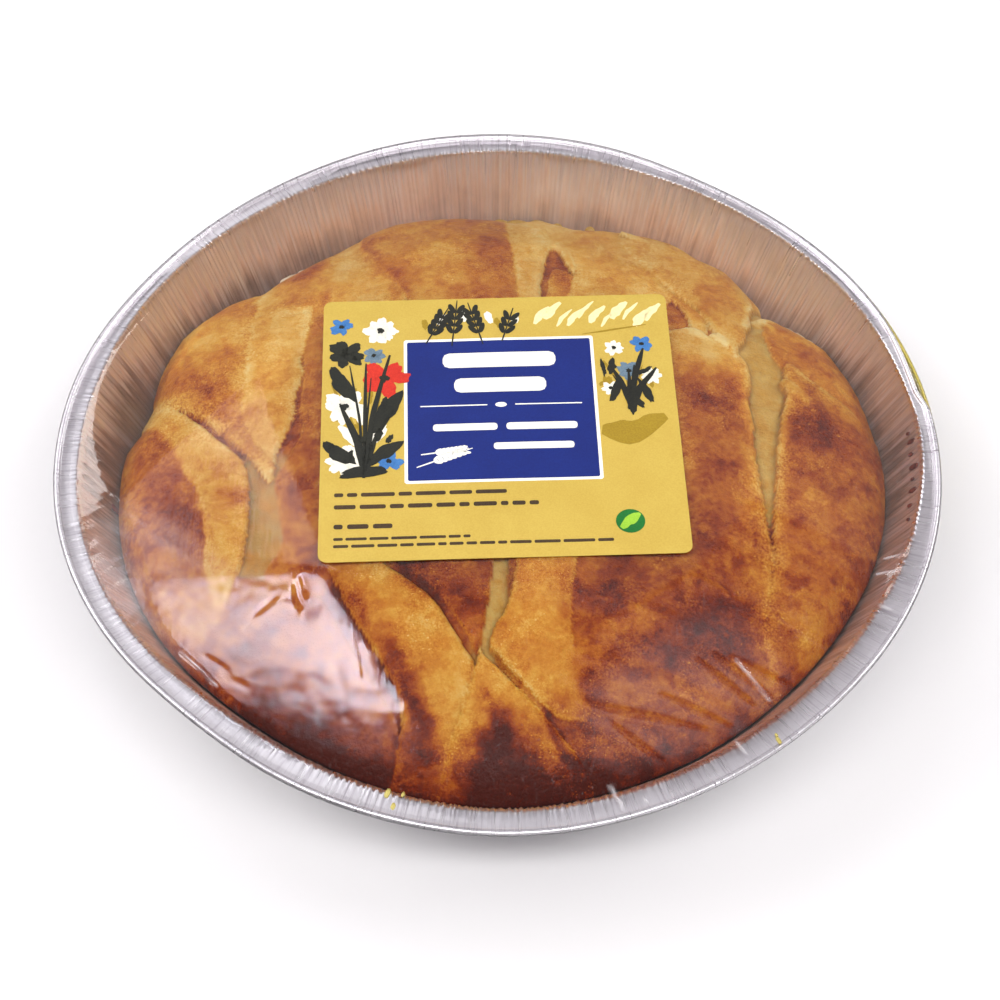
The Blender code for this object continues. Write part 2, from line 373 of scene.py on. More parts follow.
camera_data = bpy.data.cameras.new("camera")
camera_data.sensor_width = CAMERA_SENSOR
camera_data.lens = CAMERA_LENS
camera_data.clip_start = 10 * MM
camera = bpy.data.objects.new("camera", camera_data)
bpy.context.scene.collection.objects.link(camera)
back = -math.cos(CAMERA_ELEVATION) * CAMERA_DISTANCE
up = math.sin(CAMERA_ELEVATION) * CAMERA_DISTANCE
camera.location = (AIM[0], AIM[1] + back, AIM[2] + up)
camera.rotation_euler = (math.pi / 2 - CAMERA_ELEVATION, 0, 0)
bpy.context.scene.camera = camera
print("camera at", [round(v, 3) for v in camera.location])

# %% [markdown]
# ## Floor
#
# A wide white sheet of paper lies under the tin, with no edge in view. One square is enough: it
# is flat, and it only has to catch the soft shadow.

# %% Floor

FLOOR_HALF = 6.0
PAPER_WHITE = (0.74, 0.725, 0.73, 1.0)


def make_floor():
    """A plain pale sheet, far wider than the view."""
    mesh = bpy.data.meshes.new("studio_floor")
    corners = [(x * FLOOR_HALF, y * FLOOR_HALF, 0.0) for x, y in ((-1, -1), (1, -1), (1, 1), (-1, 1))]
    mesh.from_pydata(corners, [], [(0, 1, 2, 3)])
    mesh.materials.append(begin("studio_paper", Base_Color=PAPER_WHITE, Roughness=0.9)[0])
    floor = bpy.data.objects.new("studio_floor", mesh)
    bpy.context.scene.collection.objects.link(floor)
    floor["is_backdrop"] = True


make_floor()
print("floor of", 2 * FLOOR_HALF, "m")

# %% [markdown]
# ## The room
#
# Foil and film show the room more than themselves, so the room is part of the finish. It is bright
# from the horizon to high up the walls and dim overhead, so that silver foil looks pale and film
# stays clear where it faces the ceiling. The half behind the camera is dimmer.

# %% Light from all round

ROOM_STOPS = (
    (0.0, (0.78, 0.77, 0.78, 1)), (0.66, (0.66, 0.635, 0.66, 1)), (0.77, (0.84, 0.81, 0.84, 1)),
    (0.885, (0.20, 0.185, 0.19, 1)), (1.0, (0.10, 0.09, 0.09, 1)),
)
BEHIND_CAMERA = (0.50, 0.50, 0.50, 1.0)
FULL_LIGHT = (1.0, 1.0, 1.0, 1.0)


def make_room():
    """A world whose brightness follows how high a direction points, from 0 level to 1 overhead."""
    world = bpy.data.worlds.new("room")
    bpy.context.scene.world = world
    world.use_nodes = True
    tree = world.node_tree
    direction = add(tree, "ShaderNodeTexCoord").outputs["Generated"]
    split = add(tree, "ShaderNodeSeparateXYZ")
    tree.links.new(direction, split.inputs[0])
    sky = ramp(tree, split.outputs["Z"], ROOM_STOPS)
    facing = span(tree, split.outputs["Y"], -0.5, 0.15)
    dimmed = blend_colour(tree, facing, BEHIND_CAMERA, FULL_LIGHT)
    lit = blend_colour(tree, 1.0, sky, dimmed, "MULTIPLY")
    tree.links.new(lit, tree.nodes["Background"].inputs["Color"])
    tree.nodes["Background"].inputs["Strength"].default_value = 1.0


make_room()
print("room of", len(ROOM_STOPS), "brightness steps")

# %% [markdown]
# ## Soft boxes
#
# Each soft box hangs level over the tin. The wide slanting glare on the film at the left is the
# mirror image of one long box that is brightest along its inner edge, so it is hung as strips, each
# dimmer than the one before. The other boxes make the glow on the rim, a faint haze on the film, and
# light from above, in front and both sides that keeps shadows thin.

# %% The slanting glare

BOX_HEIGHT = 1.2
GLARE_TURN = -60.5
GLARE_COLOUR = (0.84, 0.88, 1.0)


def hung(name, spot, size, turn, brightness, colour=(1.0, 1.0, 1.0)):
    """A soft box over the tin, placed by its slope from the tin along x and y, and turned."""
    light = bpy.data.lights.new(name, "AREA")
    light.shape = "RECTANGLE"
    light.size, light.size_y = size[0] * BOX_HEIGHT, size[1] * BOX_HEIGHT
    light.energy = brightness * math.pi * light.size * light.size_y
    light.color = colour
    lamp = bpy.data.objects.new(name, light)
    bpy.context.scene.collection.objects.link(lamp)
    lamp.location = (spot[0] * BOX_HEIGHT, spot[1] * BOX_HEIGHT, BOX_HEIGHT)
    lamp.rotation_euler = (0.0, 0.0, math.radians(turn))


# Each strip: its place along and across the slanting box, its length and width, its brightness.
GLARE_STRIPS = (
    (-0.3895, -0.0580, 0.115, 0.024, 20.0), (-0.3830, -0.0770, 0.090, 0.014, 18.0),
    (-0.4085, -0.0920, 0.108, 0.016, 14.5), (-0.4250, -0.1125, 0.098, 0.025, 11.0),
    (-0.4550, -0.1450, 0.100, 0.040, 8.0), (-0.4700, -0.1730, 0.080, 0.016, 4.5),
    (-0.4750, -0.1870, 0.060, 0.012, 2.0),
)
for along, across, length, width, brightness in GLARE_STRIPS:
    spot = turned(along, across, GLARE_TURN)
    hung("glare_box", spot, (length, width), GLARE_TURN, brightness, GLARE_COLOUR)
print(len(GLARE_STRIPS), "strips of glare")

# %% The other soft boxes

hung("rim_box", (-0.265, 0.62), (0.33, 0.12), -60.7, 2.0)
hung("left_haze_box", (-0.47, 0.66), (0.16, 0.40), 0, 1.0, (0.93, 0.90, 1.0))
hung("left_rim_box", (-0.87, 0.38), (0.22, 0.26), 0, 3.0, (0.90, 0.88, 1.0))
hung("right_haze_box", (0.27, 0.26), (0.28, 0.20), 0, 0.35, (1.0, 0.90, 0.98))
hung("front_box", (0.0, -0.95), (1.6, 0.7), 0, 0.9)
hung("top_box", (0.0, -0.44), (1.3, 0.18), 0, 13.2)
hung("left_box", (-1.15, 0.15), (0.5, 0.8), 0, 7.6)
hung("back_left_box", (-1.0, 1.0), (0.5, 0.6), 0, 7.5)
hung("right_box", (1.15, 0.6), (0.5, 1.4), 0, 6.6)
bpy.context.scene.view_settings.view_transform = "Standard"
bpy.context.scene.view_settings.look = "None"
print(len(bpy.data.lights), "soft boxes in all")

# %% [markdown]
# ## The foil tin
#
# The tin is pressed from one disc of thin aluminium. As the wall is drawn up, the spare foil gathers
# in hundreds of narrow pleats. They start at the base corner, are deepest at the top of the wall, are
# pressed flat under the flange's die and end in the rolled bead. So the whole tin is one profile,
# swept round, with a pleat wave laid over it whose depth changes along the profile. A noise map could
# fake the pleats, but real ones catch light on their ridges and are part of the mesh itself.

# %% Tin sizes, read up the profile

FOIL = 0.16 * MM
FLOOR_Z = tin_low.z + 0.25 * MM
WALL_SPREAD = 0.518
CORNER_R = 77.6 * MM
CORNER_BEND = 3.0 * MM
PLEATS_START_Z = 4.5 * MM
WALL_TOP_Z = RIM_TOP - 2.0 * MM
FLANGE_INNER = 94.9 * MM
FLANGE_OUTER = 98.1 * MM
FLANGE_LEVEL = RIM_TOP - 1.3 * MM
BEAD_R, BEAD_Z = 98.75 * MM, RIM_TOP - 0.85 * MM
BEAD_ROLL = 0.58 * MM
PLEATS = 430
POINTS_PER_PLEAT = 4
print("flange", round((FLANGE_OUTER - FLANGE_INNER) / MM, 1), "mm, bead", round(2 * BEAD_ROLL / MM, 2), "mm")

# %% [markdown]
# Foil this thin doesn't stay round. Each hand that picked the tin up has pushed its wall and its
# bead in or out a little, and one push has left a dent in the bead. So every radius of the tin, of
# the film and of the side label goes through one function, and they all bend together.

# %% Bends and the dent

DENT = 1.3 * MM
DENT_SPAN = (math.radians(4.5), math.radians(8.5), math.radians(24))
WALL_STARTS, WALL_ENDS, BEAD_STARTS = 76, 94.9, 98.3
SMOOTHING = (-6, -3, 0, 3, 6)

# Each row: a direction in degrees, and the shift there of the wall's top and of the bead, in
# millimetres, outward above 0.
RIM_BENDS = (
    (0, 1.7, 0.75), (15, 1.2, 0.3), (30, 0.2, -0.44), (45, -0.6, -1.7), (58, -1.0, -2.5),
    (65, -1.1, -1.7), (75, -0.9, -0.2), (90, -0.5, 0.15), (105, -1.4, 0.0), (120, -1.8, -1.4),
    (135, -1.6, -1.9), (150, -1.2, -1.8), (165, -1.0, -0.1), (180, -0.9, 0.4), (195, -0.8, 0.4),
    (210, -1.8, -0.7), (220, -3.3, -1.8), (230, -4.5, -2.9), (240, -4.1, -1.7), (255, -2.5, -0.4),
    (272, -0.8, 1.1), (285, -1.4, 0.7), (300, -2.1, 0.0), (315, -2.5, -0.3), (330, -1.9, 0.5),
    (345, 0.2, 0.95),
)


def rim_shift(radius, angle):
    """How far handling has moved a point of the tin or the film in or out, in millimetres."""
    turns = [row[0] for row in RIM_BENDS]
    spots = np.degrees(np.asarray(angle)) % 360
    shifts = []
    for column in (1, 2):
        values = [row[column] for row in RIM_BENDS]
        near = [np.interp(spots + step, turns, values, period=360) for step in SMOOTHING]
        shifts.append(sum(near) / len(near))
    inner, outer = shifts
    out = fade(radius, WALL_ENDS, BEAD_STARTS)
    return fade(radius, WALL_STARTS, WALL_ENDS) * (inner * (1 - out) + outer * out)


def bent(radius, angle):
    """The tin's radius after handling: bends all round, and one dent in the bead on the right."""
    turn = (angle + math.pi) % (2 * math.pi) - math.pi
    start, deepest, end = DENT_SPAN
    dent = DENT * fade(turn, start, deepest) * (1 - fade(turn, deepest, end))
    return radius + rim_shift(radius / MM, turn) * MM - dent * fade(radius, 94 * MM, 98 * MM)


print("bends from", min(row[2] for row in RIM_BENDS), "to", max(row[2] for row in RIM_BENDS), "mm")

# %% The tin's profile


def wall_radius(height):
    """Radius of the wall's middle line at a height."""
    lean = math.atan(WALL_SPREAD)
    foot = CORNER_R + CORNER_BEND * math.cos(lean)
    foot_z = FLOOR_Z + CORNER_BEND * (1 - math.sin(lean))
    return foot + WALL_SPREAD * (height - foot_z)


def tin_rows():
    """(radius, height, pleat depth) from the base corner over the wall, the flange and the bead."""
    rows = []
    for turn in np.radians((-90, -62, -34)):
        radius = CORNER_R + CORNER_BEND * math.cos(turn)
        rows.append((radius, FLOOR_Z + CORNER_BEND * (1 + math.sin(turn)), 0.0))
    for height in np.linspace(PLEATS_START_Z, WALL_TOP_Z - 0.6 * MM, 10):
        grown = (height - PLEATS_START_Z) / (WALL_TOP_Z - PLEATS_START_Z)
        rows.append((wall_radius(height), height, (0.05 + 0.17 * grown) * MM))
    rows.append((wall_radius(WALL_TOP_Z) + 0.12 * MM, WALL_TOP_Z + 0.25 * MM, 0.26 * MM))
    rows.append((FLANGE_INNER + 0.35 * MM, FLANGE_LEVEL, 0.11 * MM))
    rows.append((FLANGE_INNER + 0.9 * MM, FLANGE_LEVEL + 0.03 * MM, 0.005 * MM))
    rows.append((FLANGE_INNER + 1.8 * MM, FLANGE_LEVEL + 0.05 * MM, 0.004 * MM))
    rows.append((FLANGE_OUTER - 0.1 * MM, FLANGE_LEVEL + 0.10 * MM, 0.012 * MM))
    for turn in np.radians((205, 165, 125, 85, 45, 5, -40, -85, -130)):
        radius = BEAD_R + BEAD_ROLL * math.cos(turn)
        rows.append((radius, BEAD_Z + BEAD_ROLL * math.sin(turn), 0.022 * MM))
    return rows


foot, top = wall_radius(3 * MM) / MM, wall_radius(WALL_TOP_Z) / MM
print("wall leans out from", round(foot, 1), "to", round(top, 1), "mm")

# %% Pleats of uneven width

RIM_WAVE = 0.12 * MM

draw = np.random.default_rng(11)
pleat_width = 1 + 0.45 * draw.uniform(-1, 1, PLEATS)
pleat_edge = np.concatenate(([0.0], np.cumsum(pleat_width))) * 2 * math.pi / pleat_width.sum()
pleat_depth = 1 + 0.45 * draw.uniform(-1, 1, PLEATS)


def pleat_points():
    """Angle and wave height of every point round the tin, four to a pleat."""
    steps = np.arange(PLEATS * POINTS_PER_PLEAT)
    which, part = steps // POINTS_PER_PLEAT, (steps % POINTS_PER_PLEAT) / POINTS_PER_PLEAT
    angle = pleat_edge[which] + part * (pleat_edge[which + 1] - pleat_edge[which])
    return angle, np.sin(2 * math.pi * part + 0.4) * pleat_depth[which]


TIN_ANGLE, TIN_WAVE = pleat_points()
print(PLEATS, "pleats of about", round(2 * math.pi * 95 / PLEATS, 2), "mm")


def sheet_point(row, normal, side):
    """Points of one row on the upper (+1) or the lower (-1) face of the foil."""
    radius, height, depth = row
    push = side * FOIL / 2 + depth * TIN_WAVE
    r = bent(radius + normal[0] * push, TIN_ANGLE)
    wave = RIM_WAVE * fade(radius, 90 * MM, 95 * MM) * np.sin(3 * TIN_ANGLE + 1)
    return polar(r, TIN_ANGLE, height + normal[1] * push + wave)


print("foil of", TIN_ANGLE.size, "points round")

# %% Build the tin

FLOOR_POINTS = 110
# Radius in millimetres and rise above the base for the rings of the floor, whose middle is raised.
FLOOR_RINGS = ((26, 0.6), (46, 0.6), (49.6, 0.6), (50.6, 0.35), (51.6, 0.0), (60, 0.0), (72, 0.0))
FLOOR_RISE = FLOOR_RINGS[0][1] * MM


def floor_ring(radius, rise, side):
    """One ring of the tin's floor on the upper (+1) or the lower (-1) face, faintly rippled."""
    angle = circle(FLOOR_POINTS)
    ripple = bump_sum(radius / 10 * np.cos(angle), radius / 10 * np.sin(angle), 0, 1.2, 3)
    height = FLOOR_Z + rise * MM + side * FOIL / 2 + 0.04 * MM * ripple
    return polar(radius * MM, angle, height)


def build_tin(material):
    """One closed sheet of foil: the upper face, the lower face, and a lip that joins them."""
    rows = tin_rows()
    line = np.array([row[:2] for row in rows])
    along = np.gradient(line, axis=0)
    along /= np.linalg.norm(along, axis=1, keepdims=True)
    normals = np.stack([-along[:, 1], along[:, 0]], 1)
    places = []
    for side in (1, -1):
        places += [floor_ring(radius, rise, side) for radius, rise in FLOOR_RINGS]
        places += [sheet_point(row, normal, side) for row, normal in zip(rows, normals)]
    rings, middle = numbered(places), FLOOR_Z + FLOOR_RISE
    upper, lower = rings[: len(rings) // 2], rings[len(rings) // 2:]
    tip = lower[-1][-1] + 1
    faces = laced(upper) + fan(upper[0], tip)
    faces += flipped(laced(lower) + fan(lower[0], tip + 1)) + lace(upper[-1], lower[-1])
    places.append(np.array([[0, 0, middle + FOIL / 2], [0, 0, middle - FOIL / 2]]))
    points = np.concatenate(places)
    tin = piece("foil_tin_pleated", points, faces, material, replaces=["foil_tin"])
    store_for_foil(tin, points, np.arange(len(points)) < lower[0][0])
    return tin


# %% [markdown]
# The finish has to know where it is on the tin, so each point keeps a few numbers. The most useful
# one is a place read round the tin, in which a step outward counts for very little: noise read from
# it comes out as lines that run up the wall. The others say how high a point is, whether it is
# on the inside, where the wall is darker, at the left and the right, and where hardly any butter
# reached it.

# %% Numbers kept for the foil's finish

DARKEST_AT = math.radians(172)
BARE_AT = (38, 138)
BARE_WIDTH = 22
OUTWARD_SHARE = 0.03


def store_for_foil(tin, points, inside):
    """Keeps the five numbers that foil_finish() reads."""
    radius = np.hypot(points[:, 0], points[:, 1])
    turn = np.arctan2(points[:, 1], points[:, 0])
    around = points[:, :2] / np.maximum(radius, 1 * MM)[:, None] * 98 * MM
    store(tin, "round", np.column_stack([around, radius * OUTWARD_SHARE]))
    store(tin, "darker_sides", (0.5 + 0.5 * np.cos(2 * (turn - DARKEST_AT))) ** 1.5)
    store(tin, "bare_side", sum(np.exp(-(((np.degrees(turn) - at) / BARE_WIDTH) ** 2)) for at in BARE_AT))
    store(tin, "inside", inside.astype(float))
    store(tin, "height", (points[:, 2] - FLOOR_Z) / (RIM_TOP - FLOOR_Z))


# %% [markdown]
# Aluminium foil is a bright metal with fine lines from the rolling and from the die. The lines run
# outward on the flange and up the wall. Butter that ran up the inside of the wall in the oven has
# dried there as a thin brown film. It is densest low down and thins out in a ragged line toward the
# top, sooner at two places at the back. Its brown is darkest low down, partly the butter and partly
# painted shade near the crust, and darker at the left and the right. The outside of the tin stays
# bare metal.

# %% Foil finish

# The butter's colour, from the darkest, where it baked hardest and painted shade falls low on the
# wall, to where it is a mere veil.
BAKED_BUTTER = (
    (0.0, (0.26, 0.175, 0.13, 1)), (0.3, (0.56, 0.40, 0.31, 1)),
    (0.62, (0.84, 0.63, 0.49, 1)), (1.0, (0.98, 0.85, 0.76, 1)),
)
SILVER, SILVER_SHADE = (0.90, 0.87, 0.90, 1), (0.82, 0.79, 0.82, 1)
SCRATCH_SHADE, NO_SHADE = (0.80, 0.78, 0.80, 1), (1.0, 1.0, 1.0, 1)


def butter_cover(tree, wall, height, lines, ribs, streaks):
    """How much butter covers the foil: all of it low on the inside, less toward a ragged line."""
    ragged = total(
        tree, height, span(tree, ribs, 0.3, 0.7, -0.12, 0.12), span(tree, lines, 0.3, 0.7, -0.05, 0.05),
        maths(tree, "MULTIPLY", stored(tree, "bare_side"), 0.22),
    )
    butter = maths(tree, "MULTIPLY", wall, span(tree, ragged, 0.74, 1.0, 1.0, 0.15))
    butter = maths(tree, "MULTIPLY", butter, span(tree, streaks, 0.28, 0.55, 0.72, 1.0))
    return maths(tree, "MULTIPLY", butter, stored(tree, "inside"))


def butter_colour_and_shade(tree, height, lines, ribs, patches):
    """Brown where the butter cooked hardest, darker low down with painted shade near the crust and at
    the left and the right, paler in patches, higher up and at the bare places.
    """
    bare = maths(tree, "MULTIPLY", stored(tree, "bare_side"), span(tree, height, 0.45, 0.85, 0.0, 0.40))
    pale = total(
        tree, span(tree, patches, 0.3, 0.7, 0.05, 0.35), span(tree, ribs, 0.3, 0.7, 0.04, 0.28),
        # The height term below: darker low down, partly the butter and partly painted shade near the crust.
        span(tree, lines, 0.3, 0.7, 0.0, 0.08), span(tree, height, 0.25, 0.85, -0.30, 0.30), bare,
        # Darker toward the left and the right of the wall.
        span(tree, stored(tree, "darker_sides"), 0, 1, 0.12, -0.50), clamp=True,
    )
    return ramp(tree, pale, BAKED_BUTTER)


def foil_finish():
    """Rolled aluminium with lines that run outward, and browned butter with painted shade on the wall."""
    material, tree, shader = begin("rolled_foil")
    around = stored(tree, "round", "Vector")
    lines = noise(tree, 0.7 * MM, 2.0, vector=around)
    ribs = noise(tree, 1.7 * MM, 3.0, 0.6, vector=around)
    streaks = noise(tree, 3.5 * MM, 3.0, vector=around)
    patches = noise(tree, 14 * MM, 3.0)
    height = stored(tree, "height")
    wall = maths(tree, "MULTIPLY", span(tree, height, 0.95, 0.92), span(tree, height, 0.0, 0.12))
    butter = butter_cover(tree, wall, height, lines, ribs, streaks)
    butter_and_shade = butter_colour_and_shade(tree, height, lines, ribs, patches)
    silver = blend_colour(tree, span(tree, patches, 0.35, 0.65), SILVER, SILVER_SHADE)
    ticks = span(tree, noise(tree, 0.3 * MM, 2.0, vector=around), 0.30, 0.50)
    silver = blend_colour(tree, 1.0, silver, blend_colour(tree, ticks, SCRATCH_SHADE, NO_SHADE), "MULTIPLY")
    tree.links.new(blend_colour(tree, butter, silver, butter_and_shade), shader.inputs["Base Color"])
    inner_wall = maths(tree, "MULTIPLY", wall, stored(tree, "inside"))
    bare_metal = span(tree, butter, 0, 1, 1.0, 0.55)
    metal = maths(tree, "MULTIPLY", bare_metal, span(tree, inner_wall, 0, 1, 1.0, 0.66))
    tree.links.new(metal, shader.inputs["Metallic"])
    dull = total(tree, span(tree, lines, 0.3, 0.7, 0.26, 0.40), span(tree, butter, 0, 1, 0.0, 0.20))
    tree.links.new(dull, shader.inputs["Roughness"])
    relief(tree, shader, ((lines, 0.010 * MM), (noise(tree, 3.0 * MM, 3.0), 0.02 * MM)))
    return material


build_tin(foil_finish())

# %% [markdown]
# ## The pastry
#
# The crust is a low dome that turns down at a round shoulder inside the tin. On it lie the folded
# leaves of dough, like the petals of a flower whose heart is under the label. Sculpting them by hand
# would not be repeatable, and a simulation would not put each leaf where it belongs. So the top is a
# fine net of points, and each leaf is an outline with a level: where a leaf lies above what is under
# it, it wins, and its rim drops off over a millimetre. That leaves true steps, slits and valleys.

# %% The dome under the leaves

CROWN_Z = FILM_TOP / MM - 1.5
DOME_DROP = 17.5
DOME_RADIUS = 88.0
DOME_POWER = 2.6
SHOULDER_FROM, SHOULDER_DROP = 0.90, 5.5

# Each pair: a direction in degrees and how far the crust reaches there, in millimetres.
CRUST_EDGE = (
    (183, 89), (176, 88.6), (171, 85.6), (166, 84.6), (160, 88), (152, 90), (143, 87), (137, 81.6),
    (128, 80.8), (122, 80.2), (115, 81.8), (109, 83.4), (98, 82.2), (91, 80.6), (86, 79.6), (82, 82.2),
    (75, 79.8), (66, 84.4), (58, 86.8), (52, 85.6), (47, 86.6), (42, 83.6), (36, 82), (31, 85.5),
    (25, 90), (14, 91), (0, 90.6), (-14, 90.6), (-30, 89.4), (-48, 88.2), (-66, 89), (-84, 88.2),
    (-100, 88), (-118, 88.6), (-138, 88), (-158, 89),
)
# Each pair: a direction in degrees and how much less the dome drops there, in millimetres.
EDGE_RISE = (
    (0, 4.2), (18, 3.4), (32, 1.8), (50, 0), (165, 0), (178, 1.6), (192, 2.6), (205, 3.4), (218, 4.8),
    (232, 6.2), (248, 4.2), (268, 1.5), (290, 2.2), (310, 4.2), (330, 4.6), (345, 4.6),
)


def crust_edge(angle):
    """How far the pastry reaches in a direction, in millimetres."""
    around = np.array(sorted((a % 360, r) for a, r in CRUST_EDGE))
    degrees = np.degrees(angle) % 360
    reach = np.interp(degrees, around[:, 0], around[:, 1], period=360)
    return reach + 0.35 * bump_sum(20 * np.cos(angle), 20 * np.sin(angle), 0, 3.0, 40)


def dome(x, y):
    """Height of the plain dome, in millimetres. Its right side has risen higher than the rest."""
    r, angle = np.hypot(x, y), np.arctan2(y, x)
    share = r / crust_edge(angle)
    risen = np.array(EDGE_RISE)
    drop = DOME_DROP - np.interp(np.degrees(angle) % 360, risen[:, 0], risen[:, 1], period=360)
    round_off = SHOULDER_DROP * np.clip((share - SHOULDER_FROM) / (1 - SHOULDER_FROM), 0, 1) ** 2
    swell = 0.5 * bump_sum(x, y, 0, 26, 7, 2)
    return CROWN_Z - drop * (r / DOME_RADIUS) ** DOME_POWER - round_off + swell


print("dome from", round(float(dome(np.array(80.0), np.array(0.0))), 1), "to", round(CROWN_Z, 1), "mm")

# %% [markdown]
# Each leaf below has the corner points of its outline, how high it lies above the dome, and how well
# it is baked, from 0, raw, to 1, nearly burnt. Some have more: how much the middle swells, how pale
# and grainy the rim is and how wide, how the leaf leans, and how far its edge drops. The list runs
# from the lowest leaf to the one on top. All sizes are in millimetres.

# %% The leaves of dough

LEAVES = []


def leaf(name, corners, level, bake, crown=0.8, rim=0.0, rim_width=2.0, lean=(0, 0), drop=1.6):
    """Adds a leaf on top of those before it. A lean is a rise for each millimetre along x and y."""
    LEAVES.append(dict(
        name=name, loop=smooth_loop(corners), level=level, bake=bake, crown=crown, rim=rim,
        rim_width=rim_width, lean=lean, drop=drop, middle=np.mean(corners, axis=0),
    ))


leaf("outer_left", (
    (-92, -4), (-90, 9), (-83, 15), (-74, 12), (-68, -5), (-60, -22), (-56, -40), (-50, -62),
    (-62, -72), (-78, -54), (-88, -28),
), 0.8, 0.60, crown=1.6)
leaf("front_left", (
    (-64, -36), (-56, -37), (-46, -40), (-38, -44), (-28, -60), (-20, -76), (-28, -92), (-52, -78),
    (-66, -62), (-72, -48),
), 1.0, 0.66, crown=1.2)
leaf("left_under_label", (
    (-46, 46), (-38, 48), (-25, 40), (-20, 0), (-22, -36), (-34, -40), (-42, -47), (-50, -38),
    (-47, -30), (-48, -22), (-49.5, -13), (-47.5, -8), (-44, 0), (-45, 8), (-45, 20),
), 0.6, 0.62, crown=1.0)
leaf("right_rim", (
    (70, 46), (64, 36), (68, 22), (80, 6), (92, -8), (96, 8), (92, 26), (84, 40),
), 1.0, 0.60)
leaf("top_left", (
    (-63, 55), (-57, 62), (-48, 68), (-40, 73), (-37, 60), (-40, 42), (-50, 36), (-58, 40),
), 1.0, 0.52, rim=0.15)
leaf("back_left", (
    (-41, 74), (-32, 84), (-24, 72), (-22, 40), (-30, 34), (-41, 38), (-40.5, 55),
), 1.3, 0.42, crown=0.5, rim=0.2)
leaf("back_right", (
    (20, 80), (36, 84), (52, 72), (46, 58), (43, 46), (32, 34), (17, 36), (20, 58),
), 1.0, 0.47, crown=0.9, rim=0.2)
leaf("right_lower", (
    (68.5, 25), (76, 19), (91, 6), (96, -8), (90, -36), (74, -58), (62, -68), (57, -50), (60, -38),
    (61.5, -22), (63.5, -6), (67, 10),
), 2.2, 0.68, crown=1.2, rim=0.35, rim_width=2.6)
leaf("right_inner", (
    (38, 30), (44, 32.5), (51, 30), (57, 26.5), (59, 20), (58, 8), (58.5, -8), (59.5, -20),
    (60, -34), (57, -46), (44, -40), (30, -30), (28, 20),
), 1.9, 0.60, rim=0.3, rim_width=2.4)
leaf("lower_right", (
    (4.5, -32), (20, -28), (44, -34), (57, -43), (60, -56), (58, -68), (44, -80), (26, -88),
    (15, -78), (6, -66.5), (-0.5, -57), (2.5, -47),
), 1.9, 0.66, crown=1.2, rim=0.2, rim_width=2.0)
leaf("gold_middle", (
    (5.4, -33), (16.5, -33), (16.0, -45.7), (16.2, -54), (17.5, -62), (19.5, -71), (13.5, -71.5),
    (7.4, -66.1), (0.8, -58.8), (-1.2, -56), (2.7, -47), (4.6, -38),
), 3.5, 0.50, crown=0.4, drop=0.9)
leaf("front_inner", (
    (-21, -32), (-13, -42.5), (-6, -53), (-3.8, -57.5), (-2.2, -48), (-1.0, -38), (-3, -30),
), 0.9, 0.72, crown=0.5)
leaf("front_strip", (
    (-38, -31), (-27, -33), (-23.5, -37.5), (-16, -43), (-10.5, -50), (-6, -57.5), (-4.5, -62),
    (-7.5, -72), (-11, -86), (-22, -88), (-19.5, -70), (-26, -56), (-33, -44),
), 2.0, 0.48, rim=0.15)
leaf("front_point", (
    (-3.2, -57.6), (-3, -58), (4, -65), (9, -70), (14, -76), (20, -86), (6, -94), (-12, -92),
    (-10, -80), (-7, -70), (-5, -64),
), 3.1, 0.50, crown=0.8, rim=0.1)
leaf("back_strip", (
    (0, 84), (8, 86.5), (16, 80.5), (22, 70), (20, 64), (14, 62), (12, 58), (10.4, 46), (10, 34),
    (3, 34), (4, 46), (3, 60), (1, 72),
), 1.6, 0.37, crown=0.6, rim=0.1)
leaf("small_flap", (
    (14, 53.5), (20, 50), (26, 45), (26, 36), (12, 36), (12.5, 44),
), 0.9, 0.68, crown=0.5, rim=0.25)
leaf("back_slip", (
    (13, 80), (21, 75), (27, 62), (30.5, 53), (27, 46), (21, 45.5), (19, 54), (14, 64),
), 1.5, 0.42, crown=0.4, rim=0.2)
leaf("back_flap", (
    (-34, 66), (-32.5, 76), (-27, 86), (-12, 88), (0, 86), (2.8, 72), (4, 58), (5, 46), (4, 32),
    (-17, 32), (-22, 43), (-27, 53), (-31, 59),
), 2.1, 0.60, crown=0.9, rim=0.0)
leaf("upper_slip", (
    (36, 56), (43, 47), (47.5, 41), (50, 36), (49, 32), (46, 30), (45.5, 38), (42, 44), (36, 50),
), 1.4, 0.47, crown=0.3)
leaf("upper_right", (
    (31, 68), (44, 78), (54, 72), (60, 65), (63, 56), (65, 49), (61.5, 43), (60, 38), (58.5, 32),
    (56, 25.5), (55.6, 25.5), (52, 31), (50, 37), (48, 41), (43, 46.5), (39, 52), (35.5, 57),
), 2.6, 0.49, crown=1.1, rim=0.1)
leaf("pale_strip", (
    (-59, 45), (-55, 58), (-49, 64), (-45, 52), (-44.2, 40), (-44.6, 31), (-45.8, 24), (-45.2, 18),
    (-46.6, 12), (-46.4, 6), (-48, 0), (-49.5, -5), (-50.5, -12.5), (-55, -6.5), (-58.5, 2),
    (-59.3, 18), (-59.6, 30),
), 1.5, 0.36, crown=0.5, rim=0.25, lean=(-0.04, 0))
leaf("upper_left", (
    (-87, 20), (-86, 33), (-83, 44), (-77, 51), (-68, 56), (-61, 56), (-58, 46), (-58.5, 32),
    (-58.3, 18), (-57.5, 4), (-49.5, -9.5), (-55, -6.3), (-60, -0.5), (-65, 5), (-70, 10.5),
    (-77, 16),
), 2.1, 0.64, crown=0.7, rim=0.30, rim_width=4.5, drop=1.1)
leaf("right_fold", (
    (68.2, 18.7), (72.6, 14.4), (76.6, 9.7), (79.8, 5.3), (82.6, 0.9), (84.8, -3.4), (86.1, -7.8),
    (86.8, -14), (86.4, -21), (84.9, -20), (84.6, -13), (83.7, -7), (80.2, 0.2), (77.5, 4.2),
    (74.4, 8.2), (70.4, 12.6), (66.6, 16.9),
), 3.2, 0.47, crown=0.3, rim=0.12, rim_width=1.0, drop=1.0)
